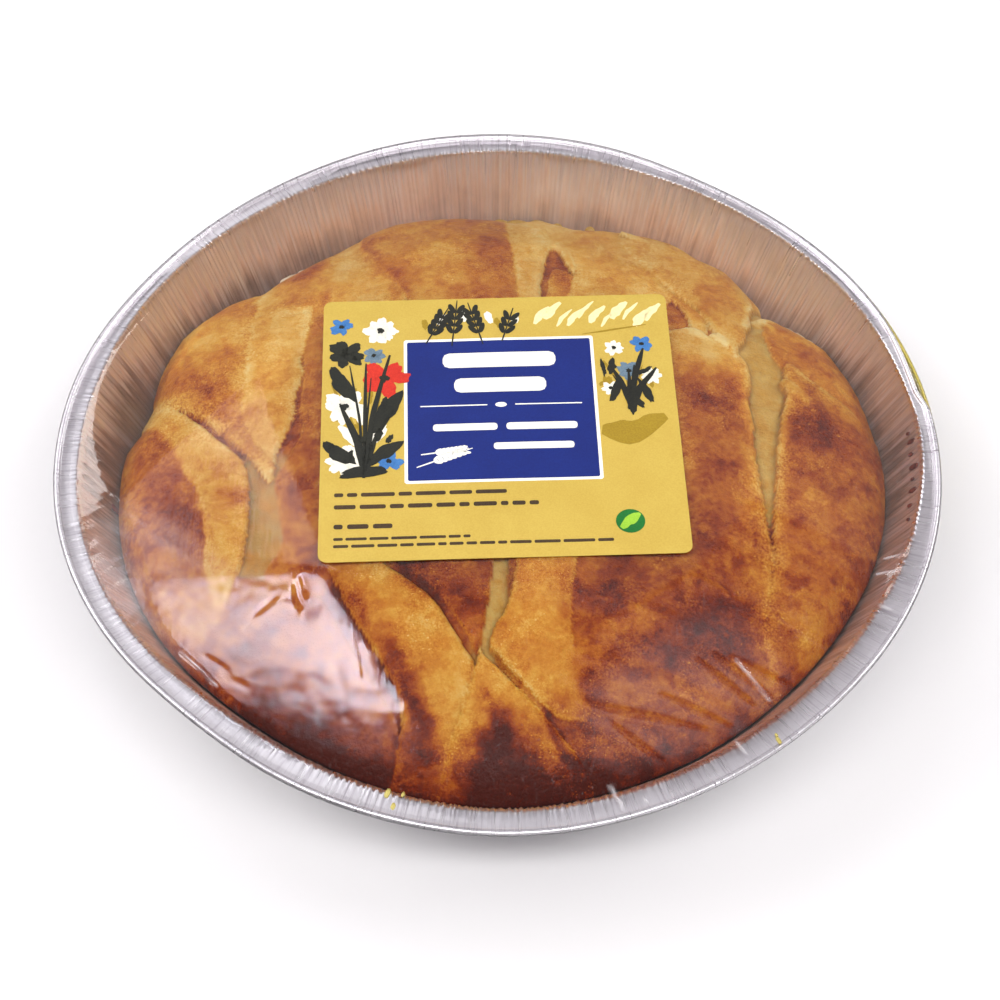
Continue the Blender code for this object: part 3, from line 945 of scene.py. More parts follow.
leaf("middle_left", (
    (-86, 17.4), (-80, 18.8), (-76, 15.0), (-70, 8.4), (-65, 2.5), (-60, -3.2), (-57, -7.6),
    (-55, -16), (-55, -28), (-57, -40), (-60, -50), (-63.5, -38), (-64.5, -28), (-66.5, -17),
    (-69.5, -9), (-74, -2), (-77.5, 3.5), (-81, 9),
), 1.9, 0.45, crown=0.8, rim=0.25, rim_width=3.0)
print(len(LEAVES), "leaves of dough")

# %% [markdown]
# An oven browns dough unevenly: where sugar ran it goes red-brown, and where a leaf shaded the next
# one it stays pale. Each patch is a soft spot with a place, two radii, a turn and how much darker or
# paler it is than its leaf. A few dark patches at the front are painted shadow: in a slit, in a
# valley, and partly under the front rim.

# %% Browned and pale patches

# Each row: place x and y, two radii, a turn in degrees, and how much darker (above 0) or paler.
PATCHES = (
    (-75, 23, 8, 5, -35, 0.14), (-62, 10, 4.5, 9, 20, 0.13), (-67, 17, 1.0, 2.5, 20, 0.18),
    (-68, 39, 8, 7, 0, -0.06), (-58, 36, 3.5, 8, 0, 0.10), (-78, -6, 6, 14, 20, 0.06),
    (-70, -22, 4, 10, 15, 0.13), (-58, -16, 4, 2.6, 0, 0.22), (-64, -8, 5, 8, 35, -0.06),
    (-70, 1, 5, 2, -40, -0.10), (-60, -28, 3, 9, 0, -0.10), (-44, -18, 4, 7, 0, 0.14),
    (-43, -30, 4, 4, 0, -0.04), (-39, -36, 4, 5, 0, 0.16), (-43, 25, 3, 20, 0, -0.04),
    (-50, 57, 5, 6, 30, 0.20), (-44, 60, 5, 3, 30, 0.16), (-56, 52, 2, 5, 0, -0.06),
    (-31.5, 63, 2.6, 7, 12, 0.17), (-25, 49, 3, 8, 25, 0.20), (-1.5, 62, 4, 8, 0, 0.17),
    (-5, 76, 2, 5, -20, 0.13), (1, 48, 3, 6, 0, 0.08), (-15, 80, 11, 4, 0, 0.06),
    (-14, 54, 9, 11, 0, -0.09), (17, 47, 4, 3, -30, 0.06), (24, 70, 4, 8, 30, 0.04),
    (52, 50, 6, 5, 30, 0.09), (40, 63, 6, 5, 40, -0.06), (53, 44, 4, 6, -20, 0.07),
    (55, 30, 3, 4, 0, -0.05), (80, 27, 8, 4, -30, 0.12), (80, 12, 5, 6, 20, -0.09),
    # (13.5, -76) is painted shadow in the slit beside the front point.
    (68, -53, 5, 4, 30, -0.10), (13.5, -76, 1.1, 7, 32, 0.34), (15, -69, 6, 4, 0, 0.14),
    (48, 25, 9, 8, 0, -0.32), (-75, 36, 12, 13, 0, -0.15), (80, 24, 9, 9, 0, -0.08),
    # (-17, -42) is painted shadow in the valley at the front left.
    (-67, 4, 10, 2.4, -42, -0.10), (-17, -42, 6, 2.6, -50, 0.30), (20, -50, 6, 8, 0, 0.10),
    (-72, -20, 6, 12, 10, 0.08), (50, 12, 8, 6, 0, 0.14), (45, 14, 3, 7, 0, 0.08),
    (50, -12, 6, 9, 0, 0.10), (50, -27, 5, 7, 0, 0.16), (60, -28, 3, 7, 0, 0.08),
    (72, 4, 4.5, 8, 0, 0.20), (83, 2, 6, 6, 0, 0.12), (74, -32, 12, 9, 20, 0.07),
    (70, -10, 5, 3, 20, 0.06), (78, -28, 9, 12, 0, -0.06), (66, -45, 8, 6, 40, -0.10),
    (48, -50, 9, 8, 20, 0.24), (33, -58, 8, 5, 10, 0.17), (23, -44, 5, 6, 0, 0.13),
    (20, -62, 4, 5, 0, 0.12), (31, -48, 3, 4, 0, -0.10), (9, -46, 4.5, 11, 0, -0.08),
    # (3, -80) and (12, -84) are partly burnt sugar and partly painted shade under the front rim.
    (16, -54, 3, 5, 0, -0.04), (14, -66, 6, 6, 30, -0.14), (3, -80, 7, 6, 0, 0.24),
    (0.5, -72, 2.2, 6, 20, 0.30), (12, -84, 8, 5, 0, 0.20), (3, -66, 3, 5, 30, -0.08),
    (-31, -47, 2.0, 8, 28, 0.26), (-21, -62, 2.6, 8, 25, 0.30), (-16.0, -74, 3.4, 8, 10, 0.34),
    (-1.5, -78, 3.0, 8, 4, 0.26), (31, -43.5, 7, 5, 0, 0.08), (-76, -22, 6, 9, 10, 0.05),
    (-65.5, 19, 5, 6, 0, -0.05), (-20, -47, 4, 9, 50, -0.08), (-10, -64, 4, 8, 15, -0.08),
    (-8, -45, 5, 4, -50, 0.12), (-36, -78, 12, 6, 20, 0.16),
)


def patch_bake_and_shade(x, y):
    """The sum of the patches at points in millimetres, each with a wandering edge."""
    darker = np.zeros(x.shape)
    wander_x = 1.6 * bump_sum(x, y, 0, 7, 60)
    wander_y = 1.6 * bump_sum(x, y, 0, 7, 70)
    for px, py, rx, ry, turn, amount in PATCHES:
        dx, dy = turned(x + wander_x - px, y + wander_y - py, -turn)
        away = (dx / rx) ** 2 + (dy / ry) ** 2
        darker += amount * np.exp(-(away**1.3) * 0.8)
    return darker


print("patches:", len(PATCHES))

# %% [markdown]
# In the valleys between the leaves the dough was covered while it baked, so it is pale and soft
# there. Each valley is an outline with a share: 1 where the dough is quite raw, less where the oven's
# heat still reached it. They are drawn a little too wide, because the leaves cover their sides.

# %% Valleys of pale dough

VALLEYS = (
    (0.68, ((-58, -8), (-48, -7), (-45, -20), (-46, -40), (-55, -42), (-57, -25))),
    (1.0, ((57, 47), (66, 48), (74, 38), (72, 25), (60, 22), (56, 30))),
    (1.0, ((57, 22), (67, 22), (65, 2), (62.5, -14), (60, -22), (57.5, -10))),
    (1.0, ((-1.5, -34), (6.5, -34), (3, -48), (-1, -59), (-4, -58), (-2, -46))),
)


def rawness(x, y):
    """How raw the dough is in the valleys, from 0 to 1."""
    raw = np.zeros(x.shape)
    for share, outline in VALLEYS:
        raw = np.maximum(raw, share * fade(depth_inside(x, y, smooth_loop(outline)), -3.0, 1.0))
    return raw


print(len(VALLEYS), "valleys")

# %% [markdown]
# Now the leaves are laid one after another, as a baker folds them. At each point a leaf has its own
# height: the dome, its level, its swell, less the drop at its rounded lip. Where that is above what lies
# there already, the leaf wins: it sets the height and the bake, and wipes out what was stored.
# Just outside its edge, where it stands clear of the leaf below, it darkens the leaf below with
# painted shade, and along its edge it leaves a thin painted highlight.

# %% Lay the leaves over the dome

LEVEL_STEP = 0.8
LIP = 0.9
SWELL_REACH = 6.0
# A thin painted highlight along every leaf's edge: its strength and its width in millimetres.
THIN_RIM_HIGHLIGHT, THIN_RIM_HIGHLIGHT_WIDTH = 0.17, 0.7
BASE_BAKE = 0.70
EDGE_WOBBLE = 0.30


def lay_leaves(x, y):
    """Height, bake, rawness, paleness of the rim with a thin painted highlight, and painted shade of
    the creases, for points in millimetres.
    """
    base = dome(x, y)
    height = base.copy()
    bake = np.full(x.shape, BASE_BAKE)
    raw = rawness(x, y)
    pale_rim_and_highlight = np.zeros(x.shape)
    painted_crease_shade = np.zeros(x.shape)
    wobble_x = EDGE_WOBBLE * bump_sum(x, y, 3, 8, 21, 4)
    wobble_y = EDGE_WOBBLE * bump_sum(x, y, 9, 8, 31, 4)
    ragged = fade(mottle(x, y, 4, 9, 33), -0.5, 0.8)
    for number, one in enumerate(LEAVES):
        low, high = one["loop"].min(0) - 5, one["loop"].max(0) + 5
        near = (x > low[0]) & (x < high[0]) & (y > low[1]) & (y < high[1])
        nx, ny = x[near], y[near]
        deep = depth_inside(nx + wobble_x[near], ny + wobble_y[near], one["loop"])
        deep = deep + 0.3 + 0.16 * mottle(nx, ny, number, 1.3, 50 + number)
        tilt = (nx - one["middle"][0]) * one["lean"][0] + (ny - one["middle"][1]) * one["lean"][1]
        swell = one["crown"] * (1 - np.exp(-np.maximum(deep, 0) / SWELL_REACH))
        fall = one["drop"] * (1 - np.sqrt(1 - (1 - np.clip(deep / LIP, 0, 1)) ** 2))
        top_edge = base[near] + LEVEL_STEP * one["level"] + tilt
        own = top_edge + swell - fall
        own = own + 0.22 * bump_sum(nx, ny, number * 7, 9, 80 + number, 3)
        won = np.where(deep > 0, fade(own - height[near], -0.05, 0.30), 0.0)
        step = fade(top_edge - height[near], 0.2, 1.4)
        # Painted shade just outside the leaf's edge, the deeper the higher the leaf stands.
        shade = np.where(deep <= 0, np.exp(np.minimum(deep, 0) / LIP) * step, 0.0)
        height[near] = np.where(won > 0, np.maximum(own, height[near]), height[near])
        inward = np.maximum(deep, 0)
        rim = one["rim"] * (0.45 + 0.55 * ragged[near]) * np.exp(-((inward / one["rim_width"]) ** 2))
        # Pale flaky rims of some leaves, and a thin painted highlight along every edge.
        rim = np.maximum(rim, THIN_RIM_HIGHLIGHT * np.exp(-((inward / THIN_RIM_HIGHLIGHT_WIDTH) ** 2)))
        bake[near] = bake[near] * (1 - won) + one["bake"] * won
        raw[near] = raw[near] * (1 - won)
        pale_rim_and_highlight[near] = pale_rim_and_highlight[near] * (1 - won) + rim * won
        painted_crease_shade[near] = np.maximum(painted_crease_shade[near] * (1 - won), shade)
    return height, bake, raw, pale_rim_and_highlight, painted_crease_shade


middle = lay_leaves(np.zeros(1), np.zeros(1))
print("height at the middle:", round(float(middle[0][0]), 2), "mm")

# %% [markdown]
# Small flakes have come loose and stick up from the leaves, mostly beside the slits. A flake is only
# a small leaf with an uneven outline. It is laid just above whatever lies at its centre, so it never
# sinks under a swollen leaf.

# %% Small flakes

FLAKE_CORNERS = 9
# Each row: place x and y, half its length and width, a turn in degrees, and how well it is baked.
FLAKES = (
    (60, 45, 3.6, 1.8, 60, 0.34), (63.5, 40.5, 3.0, 1.7, 50, 0.28), (59.5, 38, 2.6, 1.4, 80, 0.30),
    (66.5, 42, 2.6, 1.3, 20, 0.26), (68, 36.5, 4.6, 1.5, -58, 0.34), (56.6, 12, 1.3, 13, 2, 0.42),
    (67.0, 6, 1.3, 13, -13, 0.42), (47, 30.5, 3.6, 1.6, -20, 0.30), (53.5, 29.5, 3.0, 1.5, -12, 0.26),
    (-36, 72, 5, 2.4, 30, 0.50), (-14, -66, 1.1, 5, 20, 0.40), (30, -48, 8, 1.0, -20, 0.60),
    (44, -40, 7, 1.1, -24, 0.58), (72, -15, 3.4, 2.0, 0, 0.62), (17, 60, 1.0, 7, 10, 0.30),
    (38, 66, 7, 1.1, -34, 0.40),
)
for number, (x, y, rx, ry, turn, bake) in enumerate(FLAKES):
    turns = circle(FLAKE_CORNERS)
    uneven = 1 + 0.35 * mottle(3 * np.cos(turns), 3 * np.sin(turns), number, 1.3, 600)
    along, across = turned(rx * uneven * np.cos(turns), ry * uneven * np.sin(turns), turn)
    corners = list(zip(x + along, y + across))
    spot = np.array([float(x)]), np.array([float(y)])
    lift = float(lay_leaves(*spot)[0][0] - dome(*spot)[0]) / LEVEL_STEP + 0.1
    leaf("flake_%d" % number, corners, lift, bake, crown=0.25, rim=0.12, rim_width=1.0, drop=0.6)
print(len(FLAKES), "flakes of up to", 2 * max(max(row[2:4]) for row in FLAKES), "mm")

# %% [markdown]
# The crust's top is a net of rings, half a millimetre fine where it shows and coarser under the
# label. The rings follow the crust's uneven edge and lie closer together on the steep shoulder.

# %% Net of points over the crust

CELL = 0.56
HIDDEN_CELL = 1.3
HIDDEN_RADIUS = 34.0
RING_SIZES = (48, 96, 192, 288, 384, 512, 640, 768, 896, 1024)
NET_RADIUS = 88
STEEP_FROM, STEEP_SHARE = 82, 0.62


def ring_count(radius, cell):
    """A number of points for a ring: one of a few steps, so that most cells stay square."""
    for number in RING_SIZES:
        if number * cell >= 2 * math.pi * radius:
            return number
    return RING_SIZES[-1]


def crust_rings():
    """Shares of the way from the middle to the edge, closer together on the steep shoulder."""
    radius, shares = 2.0, []
    while radius < NET_RADIUS:
        shares.append(radius / NET_RADIUS)
        step = HIDDEN_CELL if radius < HIDDEN_RADIUS else CELL
        radius += step * (STEEP_SHARE if radius > STEEP_FROM else 1.0)
    return shares + [1.0]


def crust_net():
    """The places x and y of all points of the top, ring after ring, and each ring's point numbers."""
    places = []
    for share in crust_rings():
        cell = HIDDEN_CELL if share * NET_RADIUS < HIDDEN_RADIUS else CELL
        angle = circle(ring_count(share * NET_RADIUS, cell))
        places.append(polar(share * crust_edge(angle), angle, 0))
    net = np.concatenate(places)
    return net[:, 0], net[:, 1], numbered(places)


print(len(crust_rings()), "rings")

# %% [markdown]
# Over the leaves' own colours lies the oven's: the front edge stood nearest the heat and is almost
# burnt, and it also carries painted shade from the tin's rim; the back is paler. The film presses the
# crust down where they meet, and the wall holds it in.

# %% Bake and squeeze of the whole crust

UNDER_FILM = 0.5
OFF_WALL = 0.7


def film_height(x, y):
    """A plain stand-in for the film's height over the pastry, in millimetres."""
    r = np.hypot(x, y)
    return FILM_TOP / MM - (FILM_TOP / MM - RIM_TOP / MM) * np.clip((r - 54) / (95 - 54), 0, 1)


def bake_and_front_shade(x, y, bake):
    """The bake with the patches and a paler back, and a dark front edge and brown front rim that are
    partly burnt and partly painted shade of the tin's rim.
    """
    turn = np.arctan2(y, x)
    share = np.hypot(x, y) / crust_edge(turn)
    front = fade(-np.sin(turn + 0.12), 0.62, 0.98)
    # The front edge and the front rim are partly burnt and partly painted shade of the tin's rim.
    bake = bake + patch_bake_and_shade(x, y) + front * (0.30 * fade(share, 0.88, 1.0) + 0.08 * fade(share, 0.72, 0.9))
    bake = bake + 0.10 * fade(-np.sin(turn), -0.2, 0.6) * fade(share, 0.93, 1.0)
    return bake - 0.10 * fade(y, 5, 55) - 0.02 * fade(x, 15, 55) * fade(y, 0, 40)


def held_by_wall(x, y, height):
    """How much a place is drawn toward the middle so that it stays inside the wall."""
    limit = bent(wall_radius(height * MM), np.arctan2(y, x)) / MM - OFF_WALL
    return np.minimum(1.0, limit / np.maximum(np.hypot(x, y), 1))


# %% The crust as one closed body

SIDE_LEVELS = (0.18, 0.4, 0.65, 0.85, 1.0)
FOOT_IN = 2.6
UNDERSIDE_RINGS = (60.0, 30.0)
UNDERSIDE_POINTS = 96
UNDERSIDE_BAKE = 0.7


def side_ring(edge, share, floor):
    """A ring of the crust's side, at a share of the way from its edge down to the floor."""
    z = edge[:, 2] + (floor - edge[:, 2]) * share
    angle = np.arctan2(edge[:, 1], edge[:, 0])
    inside = bent(wall_radius(z * MM), angle) / MM - OFF_WALL - FOOT_IN * (share == 1.0)
    reach = np.minimum(np.hypot(edge[:, 0], edge[:, 1]), inside)
    reach = reach + 0.3 * bump_sum(reach * np.cos(angle), reach * np.sin(angle), z, 5, 90) - 0.3
    return polar(reach, angle, z)


def underside_ring(reach, floor):
    """A ring of the flat underside, faintly dimpled."""
    angle = circle(UNDERSIDE_POINTS)
    dimple = 0.25 * mottle(reach * np.cos(angle), reach * np.sin(angle), 0, 9, 95)
    return polar(reach, angle, floor + dimple)


def build_pastry(material):
    """The crust's top, its side down the tin's wall, and its flat underside, as one closed body."""
    x, y, rings = crust_net()
    height, bake, raw, pale_rim_and_highlight, painted_crease_shade = lay_leaves(x, y)
    bake = bake_and_front_shade(x, y, bake)
    height = np.minimum(height, film_height(x, y) - UNDER_FILM)
    squeeze = held_by_wall(x, y, height)
    top = np.stack([x * squeeze, y * squeeze, height], 1)
    edge, floor = top[rings[-1]], FLOOR_Z / MM + 1.1
    added = [(side_ring(edge, share, floor), bake[rings[-1]] + 0.10) for share in SIDE_LEVELS]
    for reach in UNDERSIDE_RINGS:
        added.append((underside_ring(reach, floor), np.full(UNDERSIDE_POINTS, UNDERSIDE_BAKE)))
    rings += numbered([ring for ring, _ in added], len(top))
    tip = rings[-1][-1] + 1
    middle = np.array([[0, 0, height[: RING_SIZES[0]].mean()], [0, 0, floor]])
    points = np.concatenate([top] + [ring for ring, _ in added] + [middle])
    faces = fan(rings[0], tip)
    for near, far in zip(rings, rings[1:]):
        faces += lace(near, far) if len(near) <= len(far) else flipped(lace(far, near))
    faces += fan(rings[-1], tip + 1, upward=False)
    crust = piece("kouign_amann_crust", points * MM, faces, material, ["kouign_amann"])
    store(crust, "bake", np.concatenate([bake] + [values for _, values in added] + [[0.5, 0.5]]))
    for name, values in (("raw", raw), ("pale_rim_and_highlight", pale_rim_and_highlight), ("painted_crease_shade", painted_crease_shade)):
        store(crust, name, np.concatenate([values, np.zeros(tip - len(top)), [0.5, 0.5]]))
    return crust


# %% [markdown]
# The finish reads the four stored numbers. A scale of browns turns the bake into colour, from raw
# cream over gold and orange-brown to nearly black sugar. Noise in many sizes breaks it up, from clouds
# of a centimetre and freckles of two millimetres to the fine grain of flaky layers, strongest on rims.
# A thin painted highlight lies along the rims, painted shade darkens the creases to a deep brown, and
# tiny painted sparkles stand for the shine of the glaze. Butter makes the brown parts shine more than
# the pale ones.

# %% Crust finish

# Raw cream, butter gold, orange-brown, and sugar that is nearly black.
BROWNS = (
    (0.00, tint(236, 214, 146)), (0.18, tint(232, 194, 108)), (0.34, tint(222, 167, 68)),
    (0.48, tint(206, 137, 46)), (0.62, tint(184, 104, 30)), (0.75, tint(150, 65, 16)),
    (0.87, tint(114, 39, 8)), (1.0, tint(76, 23, 6)),
)
RAW_DOUGH = ((0.35, tint(200, 158, 62)), (0.65, tint(228, 204, 118)))
PAINTED_SHADE_IN_CREASES = tint(110, 56, 20)


def unevenness(tree, blotches, freckles, grain, islands):
    """Darker and paler spots of all sizes, rough places, pin holes and tiny painted sparkles of shine."""
    clouds, rough_spots = noise(tree, 13 * MM, 6.0, 0.6), noise(tree, 11 * MM, 4.0, 0.6)
    fine = span(tree, grain, 0.38, 0.62, 0.05, -0.08)
    grainy = maths(tree, "MULTIPLY", span(tree, rough_spots, 0.46, 0.58, 0.25, 1.0), fine)
    holes = span(tree, noise(tree, 1.1 * MM, 2.0), 0.70, 0.76)
    holes = maths(tree, "MULTIPLY", holes, span(tree, blotches, 0.5, 0.6))
    # Painted highlights: tiny pale sparkles in the rough places.
    painted_glints = span(tree, noise(tree, 0.6 * MM, 2.0), 0.64, 0.72)
    painted_glints = maths(tree, "MULTIPLY", painted_glints, span(tree, rough_spots, 0.48, 0.58))
    uneven = total(
        tree, span(tree, clouds, 0.3, 0.7, -0.07, 0.07), span(tree, blotches, 0.3, 0.7, -0.065, 0.065),
        span(tree, freckles, 0.25, 0.75, -0.05, 0.05), span(tree, islands, 0.47, 0.54, -0.042, 0.042),
        grainy, maths(tree, "MULTIPLY", holes, 0.22),
    )
    return maths(tree, "SUBTRACT", uneven, maths(tree, "MULTIPLY", painted_glints, 0.30))


def crust_finish():
    """Baked, buttered dough that lets a little light in."""
    material, tree, shader = begin(
        "baked_crust", Specular_IOR_Level=0.19, Subsurface_Weight=0.12,
        Subsurface_Radius=(1.0, 0.5, 0.2), Subsurface_Scale=2.0 * MM,
    )
    painted_crease_shade = stored(tree, "painted_crease_shade")
    blotches, freckles = noise(tree, 4.2 * MM, 6.0, 0.65), noise(tree, 1.7 * MM, 4.0)
    grain, islands = noise(tree, 0.5 * MM, 3.0, 0.7), noise(tree, 6 * MM, 10.0, 0.68)
    uneven = unevenness(tree, blotches, freckles, grain, islands)
    # Pale flaky rims and the thin painted highlight make the colour paler.
    flaky_and_highlight = maths(tree, "MULTIPLY", stored(tree, "pale_rim_and_highlight"), span(tree, grain, 0.35, 0.62, 0.45, 1.25))
    level = maths(tree, "SUBTRACT", maths(tree, "ADD", stored(tree, "bake"), uneven), flaky_and_highlight)
    # Painted shade in the creases darkens the bake.
    level = maths(tree, "ADD", level, maths(tree, "MULTIPLY", painted_crease_shade, 0.14))
    under = maths(tree, "MULTIPLY", stored(tree, "raw"), 0.75)
    mixed = blend_colour(tree, under, ramp(tree, level, BROWNS), ramp(tree, blotches, RAW_DOUGH))
    # Painted shade in the creases: a deep brown laid over the colour.
    deep = blend_colour(tree, maths(tree, "MULTIPLY", painted_crease_shade, 0.42), mixed, PAINTED_SHADE_IN_CREASES)
    tree.links.new(deep, shader.inputs["Base Color"])
    buttery = span(tree, level, 0.3, 0.9, 0.46, 0.28)
    gloss = total(tree, buttery, span(tree, freckles, 0.3, 0.7, -0.05, 0.06))
    tree.links.new(gloss, shader.inputs["Roughness"])
    bumps = ((blotches, 0.45 * MM), (islands, 0.35 * MM), (freckles, 0.25 * MM), (grain, 0.16 * MM))
    relief(tree, shader, bumps)
    return material


build_pastry(crust_finish())

# %% [markdown]
# ## Butter, sugar and crumbs
#
# Butter that boiled out has set in yellow beads along the back of the crust. Sugar has burnt on in
# brown drops inside the wall, and a few pale sugar crumbs lie at the crust's edge, left and right.
# Each kind is one mesh of low domes. A dome is four uneven rings and a tip, laid on a slope that
# follows what it sits on, so one function makes them all.

# %% Domes for drops, crumbs and smears

DOME_POINTS = 20
# Each ring of a dome: its share of the radius, and its level as a share of the dome's height.
DOME_RINGS = ((1.0, -0.5), (0.96, 0.12), (0.72, 0.66), (0.38, 0.93))


def drops(name, spots, material):
    """Low domes: each has a place, a radius, a height, and how much it is drawn out and turned."""
    points, faces, count = [], [], 0
    for number, (x, y, z, radius, rise, longer, turn, up) in enumerate(spots):
        place, up = np.array([x, y, z]), np.array(up, float) / np.linalg.norm(up)
        side = np.cross((0, 0, 1) if abs(up[2]) < 0.9 else (0, 1, 0), up)
        side /= np.linalg.norm(side)
        other = np.cross(up, side)
        a = circle(DOME_POINTS)
        swell = 1 + 0.22 * bump_sum(2 * np.cos(a), 2 * np.sin(a), number * 3.1, 1.1, 250)
        for share, level in DOME_RINGS:
            size = radius * share * swell
            px, py = turned(size * longer * np.cos(a), size * np.sin(a), turn)
            points.append(place + px[:, None] * side + py[:, None] * other + rise * level * up)
        rings = numbered(points[-len(DOME_RINGS):], count)
        points.append(np.array([place + rise * up, place - 0.5 * rise * up]))
        tip = rings[-1][-1] + 1
        faces += flipped(laced(rings)) + fan(rings[-1], tip) + fan(rings[0], tip + 1, upward=False)
        count = tip + 2
    return piece(name, np.concatenate(points) * MM, faces, material)


def drop_finish(name, light, dark, roughness):
    """A wet or greasy drop with faint clouds in it."""
    material, tree, shader = begin(name)
    clouds = noise(tree, 1.2 * MM, 3.0)
    colour = blend_colour(tree, span(tree, clouds, 0.3, 0.7), light, dark)
    tree.links.new(colour, shader.inputs["Base Color"])
    tree.links.new(span(tree, clouds, 0.3, 0.7, roughness, roughness + 0.2), shader.inputs["Roughness"])
    relief(tree, shader, ((clouds, 0.08 * MM),))
    return material


# %% Places for drops and crumbs

OFF_FOIL = 0.42
CLEAR_OF_PLEATS = 0.6
REACH_SHARE = 1.4


def on_wall(turn, height):
    """A place on the inside of the wall and the direction it faces, in millimetres."""
    a = math.radians(turn)
    r = float(bent(wall_radius(height * MM), np.array(a))) / MM - OFF_FOIL
    return (r * math.cos(a), r * math.sin(a), height), (-math.cos(a), -math.sin(a), WALL_SPREAD)


def crust_height(x, y):
    """Height of the plain dome at one place, in millimetres."""
    return float(dome(np.array(float(x)), np.array(float(y))))


def held_in(x, y, lift, radius):
    """A place on the crust's edge, moved toward the middle where the wall leaves too little room."""
    wall = bent(wall_radius((crust_height(x, y) + lift) * MM), np.array(math.atan2(y, x)))
    room = float(wall) / MM - CLEAR_OF_PLEATS - REACH_SHARE * radius
    share = min(1.0, room / math.hypot(x, y))
    return x * share, y * share, crust_height(x * share, y * share) + lift


print("a drop on the wall:", [round(v, 1) for v in on_wall(187, 19)[0]], "mm")

# %% Beads of butter and drops of burnt sugar

# Place x and y, radius, and how much longer than wide.
BUTTER_SPOTS = (
    (1, 83.5, 1.5, 1.6), (6, 85.5, 1.7, 1.9), (11, 84.2, 1.3, 1.7), (15.5, 81.5, 1.2, 1.3),
    (24, 80.5, 1.0, 1.4),
)
# Direction in degrees, height on the wall, radius, and how much longer than wide.
SUGAR_SPOTS = (
    (2.6, 28.2, 0.45, 1.4), (1.0, 28.6, 0.6, 2.2), (-1.0, 28.0, 0.5, 1.6), (-3.4, 28.7, 0.7, 2.4),
    (-5.4, 28.3, 0.4, 1.5), (-7.5, 28.6, 0.65, 2.2), (-10.0, 28.2, 0.5, 1.6), (-12.6, 28.6, 0.4, 1.4),
    (187, 19, 0.9, 2.0), (185, 15, 0.6, 2.2),
)

butter = []
for x, y, radius, longer in BUTTER_SPOTS:
    butter.append((*held_in(x, y, 1.2, radius), radius, 1.0, longer, 0, (0.1, 0.5, 1)))
set_butter = drop_finish("set_butter", tint(206, 168, 62), tint(186, 140, 44), 0.3)
drops("butter_beads", butter, set_butter)
sugar = []
for turn, height, radius, longer in SUGAR_SPOTS:
    place, facing = on_wall(turn, height)
    sugar.append((*place, radius, 0.30, longer, 80, facing))
burnt_sugar = drop_finish("burnt_sugar", tint(128, 54, 26), tint(88, 32, 16), 0.3)
drops("burnt_sugar_drops", sugar, burnt_sugar)

# %% Pale sugar crumbs

# Place x and y, radius, and how much longer than wide.
CRUMB_SPOTS = (
    (-51, 59.5, 1.6, 1.9), (-48.6, 61.8, 1.1, 1.5), (73, 45, 1.5, 2.0), (76.5, 42.5, 1.3, 1.8),
    (79.5, 40, 1.0, 1.6),
)

crumbs = []
for x, y, radius, longer in CRUMB_SPOTS:
    turn, up = (30 if x < 0 else -40), (0.3 * x / 90, 0.3 * y / 90, 1)
    crumbs.append((*held_in(x, y, 0.5, radius), radius, 0.55, longer, turn, up))
pale_sugar = drop_finish("pale_sugar", tint(222, 208, 186), tint(204, 184, 152), 0.5)
drops("pale_sugar_crumbs", crumbs, pale_sugar)

# %% [markdown]
# ## The film
#
# The film is one sheet, far thinner than a hair, so it is a single surface: flat over the crown of the
# pastry, then stretched in a few nearly flat panels down to the rim, over the bead, down the outside
# and in under the base. Each panel mirrors one part of the room, which is why glare on film has sharp,
# straight edges. Taking the lowest of several tilted planes gives just that: panels that meet in
# creases. Cloth simulation would make soft folds here, not the tight facets of shrunk film.

# %% Film panels

FILM_CROWN = FILM_TOP / MM - 0.05
FLANGE_FILM = FLANGE_LEVEL / MM + 0.22
FLANGE_START = FLANGE_INNER / MM + 0.6
RIM_SLOPE = 0.32

# Each panel: the direction it falls in, how far from the middle it starts, and its slope.
PANELS = (
    (236, 53, 0.139), (257.4, 46, 0.081), (262, 71.9, 0.25), (198, 47.2, 0.0816), (200, 71.9, 0.25),
    (168, 57, 0.153), (142, 58, 0.157), (118, 57, 0.153), (92, 59, 0.16), (66, 58, 0.157),
    (40, 58, 0.157), (14, 59, 0.16), (-12, 60, 0.166), (-36, 58, 0.157), (-55, 57, 0.153),
    (-78, 56, 0.149),
)


def soft_least(values, width):
    """The least of several heights, with creases rounded over about `width` millimetres."""
    values = np.stack(values)
    least = values.min(0)
    return least - width * np.log(np.exp(-(values - least) / width).sum(0))


def panel_heights(x, y, radius):
    """Height of the film's flat panels at points of one ring, with creases where they meet."""
    planes = [np.full(x.shape, FILM_CROWN)]
    for turn, start, slope in PANELS:
        a = math.radians(turn)
        planes.append(FILM_CROWN - slope * (x * math.cos(a) + y * math.sin(a) - start))
    planes.append(np.full(x.shape, FLANGE_FILM + RIM_SLOPE * (FLANGE_START - radius)))
    return soft_least(planes, 0.05)


print(len(PANELS), "panels, crown at", round(FILM_CROWN, 2), "mm")

# %% [markdown]
# Where the machine pulled the film over the rim it left small marks: tight folds pressed flat, and
# white ridges where a fold stands up. Two veils of painted glare lie over it, a pale diffuse white
# where the soft boxes' glare falls on the film, streaked at the left and faint at the right. Folds and
# ridges are straight strokes with a depth or a width, and the veils are outlines.

# %% Folds, ridges and veils of painted glare

